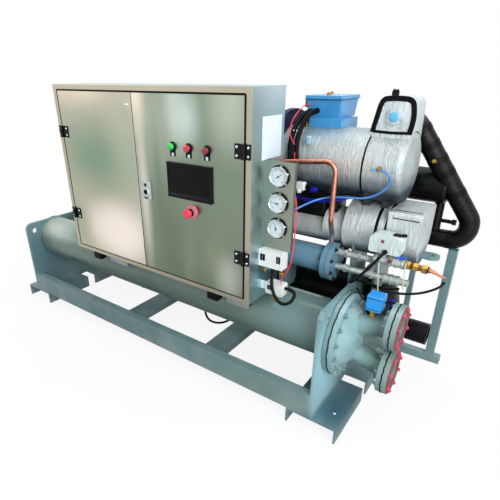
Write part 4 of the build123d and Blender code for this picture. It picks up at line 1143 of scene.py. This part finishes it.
def dress_switches():
    """Windows with pointers, brass fittings, a blue plug and screws on the pressure switches."""
    windows, bright, brass = bmesh.new(), bmesh.new(), bmesh.new()
    for (x0, z0), (x1, z1), y in (((750, 748), (774, 778), -355), ((827, 750), (846, 781), -355),
                                  ((784, 616), (806, 637), -345)):
        rounded_block(windows, (x0, y - 0.9, z0), (x1, y + 0.4, z1), 0.8)
        middle = (x0 + x1) / 2
        swept(bright, [at(middle, y - 1.2, z0 + 4), at(middle, y - 1.2, z1 - 4)], bar(0.7, -0.3, 0.3),
              (0, -1, 0))
    piece("switch_windows", windows, "black_plastic")
    piece("switch_pointers", bright, "bright")
    down = (0, 0, -1)
    for x, y, z, drop in ((765, -333, 722, 34), (843, -333, 722, 32), (806, -323, 596, 34)):
        turned(brass, at(x, y, z), down, [(0, -0.5), (9.5, -0.5), (9.5, 8), (6.5, 9.5), (6.5, 14)], 24)
        turned(brass, at(x, y, z), down, [(11.2, 13.5), (11.2, 22), (0, 22)], 6)
        turned(brass, at(x, y, z), down, [(5.5, 21), (5.5, drop - 6), (4, drop), (0, drop)], 20)
    piece("switch_brass_fittings", brass, "brass", sharp=30)
    turned_piece("switch_blue_plug", "switch_blue", [
        ((786, -333, 722), down, [(0, -0.5), (6.5, -0.5), (6.5, 16), (5, 20), (0, 20)], 20)])
    screws("switch_screws", (0, -1, 0), [(757, -355, 790), (846, -355, 790), (846, -355, 730),
                                         (784, -345, 643), (850, -345, 603)], head=2.6, height=1.4)


# Vessels, compressor and pipes

def bead(bm, points, closed=True, size=3.4, up=(1, 0, 0)):
    """A weld bead with its row of small ripples."""
    swept(bm, points, circle(size, 7), up, closed=closed, scale=lambda i: (0.86, 1.08, 1.0)[i % 3])


def line_points(start, end, step=7.0):
    count = max(2, round((Vector(end) - Vector(start)).length / step))
    return [at(*Vector(start).lerp(Vector(end), i / count)) for i in range(count + 1)]


def weld_seams():
    """Beads where the vessels and feet meet the end plates, and along the cross members."""
    bm = bmesh.new()
    inner, outer = END_PLATE_FACES
    for (y, z), r in ((CONDENSER, 131.5), (EVAPORATOR, 151.5)):
        for x in (-inner, inner):
            bead(bm, ring_points((x, y, z), r, steps=108))
    bead(bm, ring_points((-outer, *CONDENSER), 131.0, steps=108))
    for sx in (-1, 1):
        x = sx * inner
        for sy in (-1, 1):
            y = sy * 357.0
            bead(bm, line_points((x, y, 82), (x, y, 196)), closed=False)
            bead(bm, line_points((x, y, 199.5), (x, sy * 396, 199.5)), closed=False, up=(0, 0, 1))
        for y0, y1 in ((-396, -71), (-11, 396)):
            for x in (sx * (inner - 0.1), sx * (outer + 0.1)):
                bead(bm, line_points((x, y0, 80), (x, y1, 80)), closed=False, size=3.0)
    for x in (-190.0, 425.0):
        for edge in (x - 60, x + 60):
            for y in (-355.5, 355.5):
                bead(bm, line_points((edge, y, 80), (edge, y, 117)), closed=False, size=2.6)
        for y in (-355.5, 355.5):
            bead(bm, line_points((x - 60, y, 119.2), (x + 60, y, 119.2)), closed=False, size=2.6,
                 up=(0, 0, 1))
    piece("weld_seams", bm, "skid", sharp=60)


def flange_bolts():
    """Bolt circles of the water head, nozzles, drier and motor, the nozzles' red faces and the joints."""
    y, z = CONDENSER
    right, left = (1, 0, 0), (-1, 0, 0)
    nozzles = (z + NOZZLE_RISE, z - NOZZLE_RISE)
    bolt_circles("water_head_bolts", [((1111, y, z), right, 16, 166, 9.5, 8, 11),
                                      ((1067, y, z), left, 16, 166, 9.5, 8, 11)],
                 "painted_bolt")
    bolt_circles("nozzle_bolts", [((1271, y, nz), left, 8, 80, 9.0, 8, 22.5) for nz in nozzles],
                 "painted_bolt")
    bolt_circles("nozzle_red_nuts", [((1315, y, nz), right, 8, 80, 9.5, 6.5, 22.5) for nz in nozzles],
                 "primer_red")
    bolt_circles("drier_bolts", [((910, *DRIER), left, 8, 76, 7.5, 7, 22.5),
                                 ((956, *DRIER), right, 8, 76, 7.5, 7, 22.5)])
    bolt_circles("motor_flange_bolts", [((640, *COMPRESSOR), right, 20, 203, 6.0, 6, 9)])
    bolt_circles("motor_end_bolts", [((419.5, *COMPRESSOR), left, 12, 188, 5.0, 5, 15)])
    ring = [(95.5, -0.5), (95.5, 1.4), (94.5, 2), (66, 2), (64, 3.6), (47, 3.6), (45.2, 2.6), (44.8, -0.5)]
    # The red caps' faces, darker than the nuts, partly as painted shade.
    turned_piece("nozzle_red_faces", "deep_red",
                 [((1315, y, nz), right, ring, 60) for nz in nozzles])
    bm = bmesh.new()
    for x, r, nz in ((1293, 97.0, nozzles[0]), (1293, 97.0, nozzles[1]), (1089, 184.2, z)):
        edge = ring_points((x, y, nz), r, steps=120)
        for i, point in enumerate(edge):
            point.x += 0.0011 * math.sin(i * 0.9) + 0.0008 * math.sin(i * 2.3 + x)
        swept(bm, edge, circle(2.6, 7), right, closed=True)
    piece("flange_joint_lines", bm, "rubber")


def wind_tape():
    """Black tape over the foil's seams, and the strap rings along the foam."""
    front, right = (0, -1, 0), (1, 0, 0)
    bm = bmesh.new()
    swept(bm, ring_points((1024, *COMPRESSOR), 146.6, arc=(62, 318), steps=72), strip(7, 1.6), (0, 1, 0))
    swept(bm, ring_points((1106, *SEPARATOR), 118.6, arc=(-52, 232), steps=64), strip(13, 1.8), (0, 1, 0))
    swept(bm, ring_points((1144, *SEPARATOR), 118.8, arc=(30, 190), steps=48), strip(9, 2.2), (0, 1, 0))
    hood_rim = [(x, 18.8, z) for x, z in (
        (1168, 1241), (1172, 1262), (1176, 1300), (1172, 1330), (1166, 1357), (1150, 1366), (1120, 1368),
        (1080, 1368), (1056, 1364), (1046, 1344), (1038, 1300), (1030, 1262), (1027, 1241))]
    swept(bm, smooth_line(hood_rim), strip(20, 2.2), front)
    hood_foot = [(1028, 19.4, 1246), (1070, 19.0, 1243), (1120, 18.8, 1243), (1172, 18.8, 1245)]
    swept(bm, smooth_line(hood_foot), strip(11, 2.0), front)
    for y, z, up in ((-19, 920, front), (20, 944.6, (0, 0, 1))):
        swept(bm, line_points((1168, y, z), (1272, y, z), 30), strip(4, 1.6), up)
    piece("foil_seam_tape", bm, "tape")

    bm = bmesh.new()
    pipe_ring = [(42.0, 0), (43.0, 1), (43.3, 14), (43.0, 27), (42.0, 28)]
    shell_ring = [(150.0, 0), (151.2, 1), (151.4, 24), (151.2, 47), (150.0, 48)]
    run = smooth_line([(1127, 262, 1278), (1200, 285, 1168), (1280, 312, 1047), (1409, 357, 852)])
    for share in (0.12, 0.3, 0.5, 0.68, 0.86):
        i = int(share * (len(run) - 1))
        way = (run[i + 1] - run[i]).normalized()
        turned(bm, run[i] - way * 0.014, way, pipe_ring, 40)
    for x in (1330, 1190, 1060):
        turned(bm, at(x, 357, 748.3), right, pipe_ring, 40)
    for x in (-980, -700, -420, -140, 140, 420, 700, 980):
        turned(bm, at(x, *EVAPORATOR), right, shell_ring, 72)
    piece("foam_joint_tape", bm, "tape")


def dress_terminal_box():
    """Lid screws, brass glands and the lid's seal."""
    up = (0, 0, 1)
    screw = [(0, 0), (4.5, -0.2), (4.5, 2), (3.2, 3), (0, 3)]
    turned_piece("lid_screws", "bright",
                 [((x, y, 1368), up, screw, 18) for x in (700, 848) for y in (106, 279)])
    bm = bmesh.new()
    for x, y, r, h in ((765, 159, 8, 12), (752, 214, 7, 9), (738, 262, 8, 12)):
        turned(bm, at(x, y, 1368), up, [(r, -0.3), (r, h * 0.5), (r * 0.62, h * 0.6), (r * 0.62, h), (0, h)],
               18)
    rounded_block(bm, (685.6, 96, 1318), (690, 112, 1352), 1.0)
    rounded_block(bm, (712, 52, 1222), (722, 66, 1262), 1.6)
    piece("terminal_yellow_parts", bm, "brass")
    bm = bmesh.new()
    x0, x1, y0, y1 = 684.5, 863.5, 89.5, 295.5
    corners = [at(x, y, 1353.4) for x, y in ((x0, y0), (x1, y0), (x1, y1), (x0, y1))]
    for a, b in zip(corners, corners[1:] + corners[:1]):
        swept(bm, [a, b], bar(1.2, -0.9, 0.9), up)
    piece("lid_seal", bm, "rubber")


def dress_compressor_front():
    """The brass branch with its nut, the wiring, a lagged rest and a black foam block standing in for painted
    shade beneath the drum, and the caps round it.
    """
    front = (0, -1, 0)
    turned_piece("oil_branch_brass", "brass", [
        ((1096, -43, 1112), front, [(12, -3), (12, 2), (8, 3), (8, 6)], 24),
        ((1096, -43, 1112), front, [(10.5, 5), (10.5, 12), (5.5, 13.5), (0, 13.5)], 6)], sharp=30)
    turned_piece("oil_branch_cap", "cap_blue",
                 [((1074, -44, 1108), front, [(8, -2), (8, 6), (6.5, 9), (0, 9)], 20)])
    for name, finish, slot, blocks in (
            ("junction_block", "white_plastic", "white_plastic", [((735, -52, 978), (781, -20, 1018), 9, 4),
                                                                  ((748, -58, 968), (764, -30, 986), 4, 3)]),
            ("blue_connector", "deep_blue", "blue_hose", [((806, -48, 976), (838, -22, 999), 6, 3)]),
            ("thermostat_head", "pale_blue", "cap_blue", [((768, -52, 1178), (793, -28, 1216), 8, 4)]),
            # A lagged rest by the neck, and a larger black block that stands in for painted shade in the gap
            # under the drum.
            ("lagged_compressor_rests", "foam", "black_foam", [((662, 50, 838), (848, 150, 968), 14, 3),
                                                               ((862, 46, 872), (908, 154, 966), 10, 3)])):
        bm = bmesh.new()
        for low, high, radius, segments in blocks:
            rounded_block(bm, low, high, radius, segments)
        piece(name, bm, finish)

    bm = bmesh.new()
    for dz, dy in ((0, 0), (9, 5), (-8, 6)):
        wire(bm, [(770, -36 + dy, 1000 + dz), (800, -40 + dy, 984 + dz), (850, -52 + dy, 972 + dz),
                  (905, -50 + dy, 974 + dz), (960, -44 + dy, 980 + dz), (1000, -30 + dy, 985 + dz),
                  (1030, -8, 992 + dz)], 4.2)
    wire(bm, [(745, -44, 982), (760, -60, 960), (810, -64, 948), (856, -62, 956), (900, -58, 962),
              (960, -48, 974), (1010, -20, 986)], 4.4)
    piece("black_wiring", bm, "rubber")
    bm = bmesh.new()
    for dz in (0, 7):
        wire(bm, [(748, -56, 950 + dz), (790, -66, 944 + dz), (850, -72, 950 + dz), (900, -68, 954 + dz),
                  (945, -56, 962 + dz), (980, -38, 974 + dz)], 3.0)
    piece("blue_wiring", bm, "deep_blue")
    bm = bmesh.new()
    wire(bm, [(716, 97, 1330), (712, 50, 1336), (708, -10, 1310), (700, -66, 1255), (716, -82, 1205),
              (736, -78, 1180)], 2.0, steps=8)
    wire(bm, [(738, -78, 1150), (742, -84, 1090), (728, -88, 1040), (716, -112, 1008)], 2.0, (0, 1, 0), 8)
    piece("red_motor_wires", bm, "wire_red")
    turned_piece("conduit_ties", "tie", [
        ((x, -60, z), (0, 0, 1), [(0, -2), (3, -2), (3, 2), (0, 2)], 8)
        for x in (718, 733) for z in (1236, 1100, 1040)])


def dress_valve_group():
    """Caps, ties, nuts and the probe on the liquid line, under the actuator."""
    front, up, right = (0, -1, 0), (0, 0, 1), (1, 0, 0)
    turned_piece("dark_red_caps", "lens_dark", [
        ((1197, -68, 752), front, [(9, 0), (9, 8), (7.5, 11), (0, 11)], 6),
        ((1166, -98, 842), front, [(0, -0.3), (6.5, -0.3), (6.5, 3), (5, 4), (0, 4)], 20)])
    bm = bmesh.new()
    turned(bm, at(1236, -60, 866), up, [(0, -1), (10, -1), (10, 6), (7.5, 9), (0, 9)], 20)
    rounded_block(bm, (1196, -80, 862), (1226, -50, 872), 3, 3)
    turned(bm, at(1181, -98, 800), front, [(10, -0.5), (10, 8), (8.4, 12), (6.4, 20), (6.3, 20.5)], 24)
    piece("actuator_black_parts", bm, "black_plastic")
    turned_piece("deep_blue_cap", "deep_blue", [
        ((1254, -150, 602), up, [(0, -12), (7, -12), (7, 4), (9, 6), (9, 22), (7, 25), (0, 25)], 20)])

    bm = bmesh.new()
    for x0, x1, top, low in ((1158, 1170, 738, 592), (1262, 1266, 760, 640)):
        line = smooth_line([(x0, -74, top), ((x0 + x1) / 2, -78, (top + low) / 2), (x1, -64, low)])
        swept(bm, line, bar(2.4, -0.8, 0.8), front)
    for x in (1140, 1212, 1248):
        swept(bm, ring_points((x, *VALVE_LINE), 20.0, steps=28), strip(5, 1.6), (0, 1, 0), closed=True)
    piece("white_cable_ties", bm, "tie")

    nuts = [((x - 7, -22, z), right, [(15.1, 0), (20, 0.6), (20, 13.4), (15.1, 14)], 6)
            for x, z in ((1000, 722), (1060, 722), (1000, 652), (1120, 652))]
    nuts += [((x, -22, 652), right, [(21, -4), (23.6, -3), (24.2, 0), (23.6, 3), (21, 4)], 28)
             for x in (1176, 1204, 1232)]
    nuts += [((x, *VALVE_LINE), right, [(18, -6), (r, -4.5), (r, 4.5), (18, 6)], 28)
             for x, r in ((1139, 20.5), (1222, 21.5))]
    turned_piece("line_nuts", "foil_fine", nuts, sharp=30)
    threads = [((x0 + (x1 - x0) * (k + 0.5) / 7, *VALVE_LINE), right, [(11, -0.8), (r, 0), (11, 0.8)], 22)
               for x0, x1, r in ((1276, 1288, 12.5), (1306, 1322, 13)) for k in range(7)]
    threads.append(((1195, -188, 588), (0, 0, -1), [(13, 0), (22, 0.2), (22, 9), (13, 9.6)], 6))
    turned_piece("brass_rings", "brass", threads, sharp=30)
    bm = bmesh.new()
    wire(bm, [(1340, -50, 745), (1354, -50, 744), (1372, -50, 739), (1392, -51, 732), (1410, -52, 726)],
         8.5, steps=16, scale=lambda i: max(0.45, 1 - i * 0.014))
    piece("valve_copper_tail", bm, "copper")
    turned_piece("valve_dark_bands", "rubber", [
        ((x, *VALVE_LINE), right, [(9, -3.5), (r, -2.8), (r, 2.8), (9, 3.5)], 24)
        for x, r in ((1263, 13.6), (1291, 14.4), (1325, 14.6), (1343, 12.4))])

    bm = bmesh.new()
    wire(bm, [(1233, -180, 620), (1252, -176, 630), (1276, -170, 622), (1270, -160, 596), (1252, -154, 588)],
         4)
    wire(bm, [(1170, -200, 610), (1150, -190, 616), (1134, -160, 606), (1110, -120, 600), (1086, -96, 606)],
         4)
    wire(bm, [(1085, -60, 632), (1120, -52, 628), (1160, -60, 620), (1210, -62, 622), (1250, -48, 632)], 5)
    piece("flow_switch_leads", bm, "rubber")
    bm = bmesh.new()
    for z in (596, 644):
        swept(bm, [at(1169.6, -222.4, z), at(1233.4, -222.4, z)], bar(0.8, -0.8, 0.6), front)
    piece("flow_switch_seams", bm, "black_plastic")
    screws("flow_switch_screws", up, [(x, y, 652) for y in (-216, -161) for x in (1176, 1227)], head=2.6,
           height=1.2)


def dress_hood():
    """The knob and blue cap on the suction valve's hood, and the nut on the header's branch."""
    turned_piece("hood_black_knob", "rubber", [
        ((1084, 60, 1388), (0, 0, 1), [(10.4, -16), (13, -14), (14, 0), (11, 8), (9, 13), (0, 14)], 24)])
    turned_piece("hood_cap_face", "cap_blue", [
        ((1106, 6, 1302), (0, -1, 0), [(19.4, -1), (19.4, 1.4), (17.5, 3), (12, 4.2), (0, 4.8)], 36)])
    turned_piece("header_branch_nuts", "brass", [
        (HEADER_NUT, (-0.3, -1, 0.4), [(0, -26), (7, -26), (7, -8), (9, -8), (9, 6), (5, 8), (0, 8)], 6)],
        sharp=30)


BOLTS, SCREWS, DIAL_MARKS = hex_bolt_ring(), panel_screws(), dial_marks()

set_up_camera()
lay_cords()
set_up_light()
lay_floor()
finish_nodes()
wrap_conduits()
dress_doors()
dress_lock()
dress_gauges()
dress_switches()
weld_seams()
flange_bolts()
wind_tape()
dress_terminal_box()
dress_compressor_front()
dress_valve_group()
dress_hood()
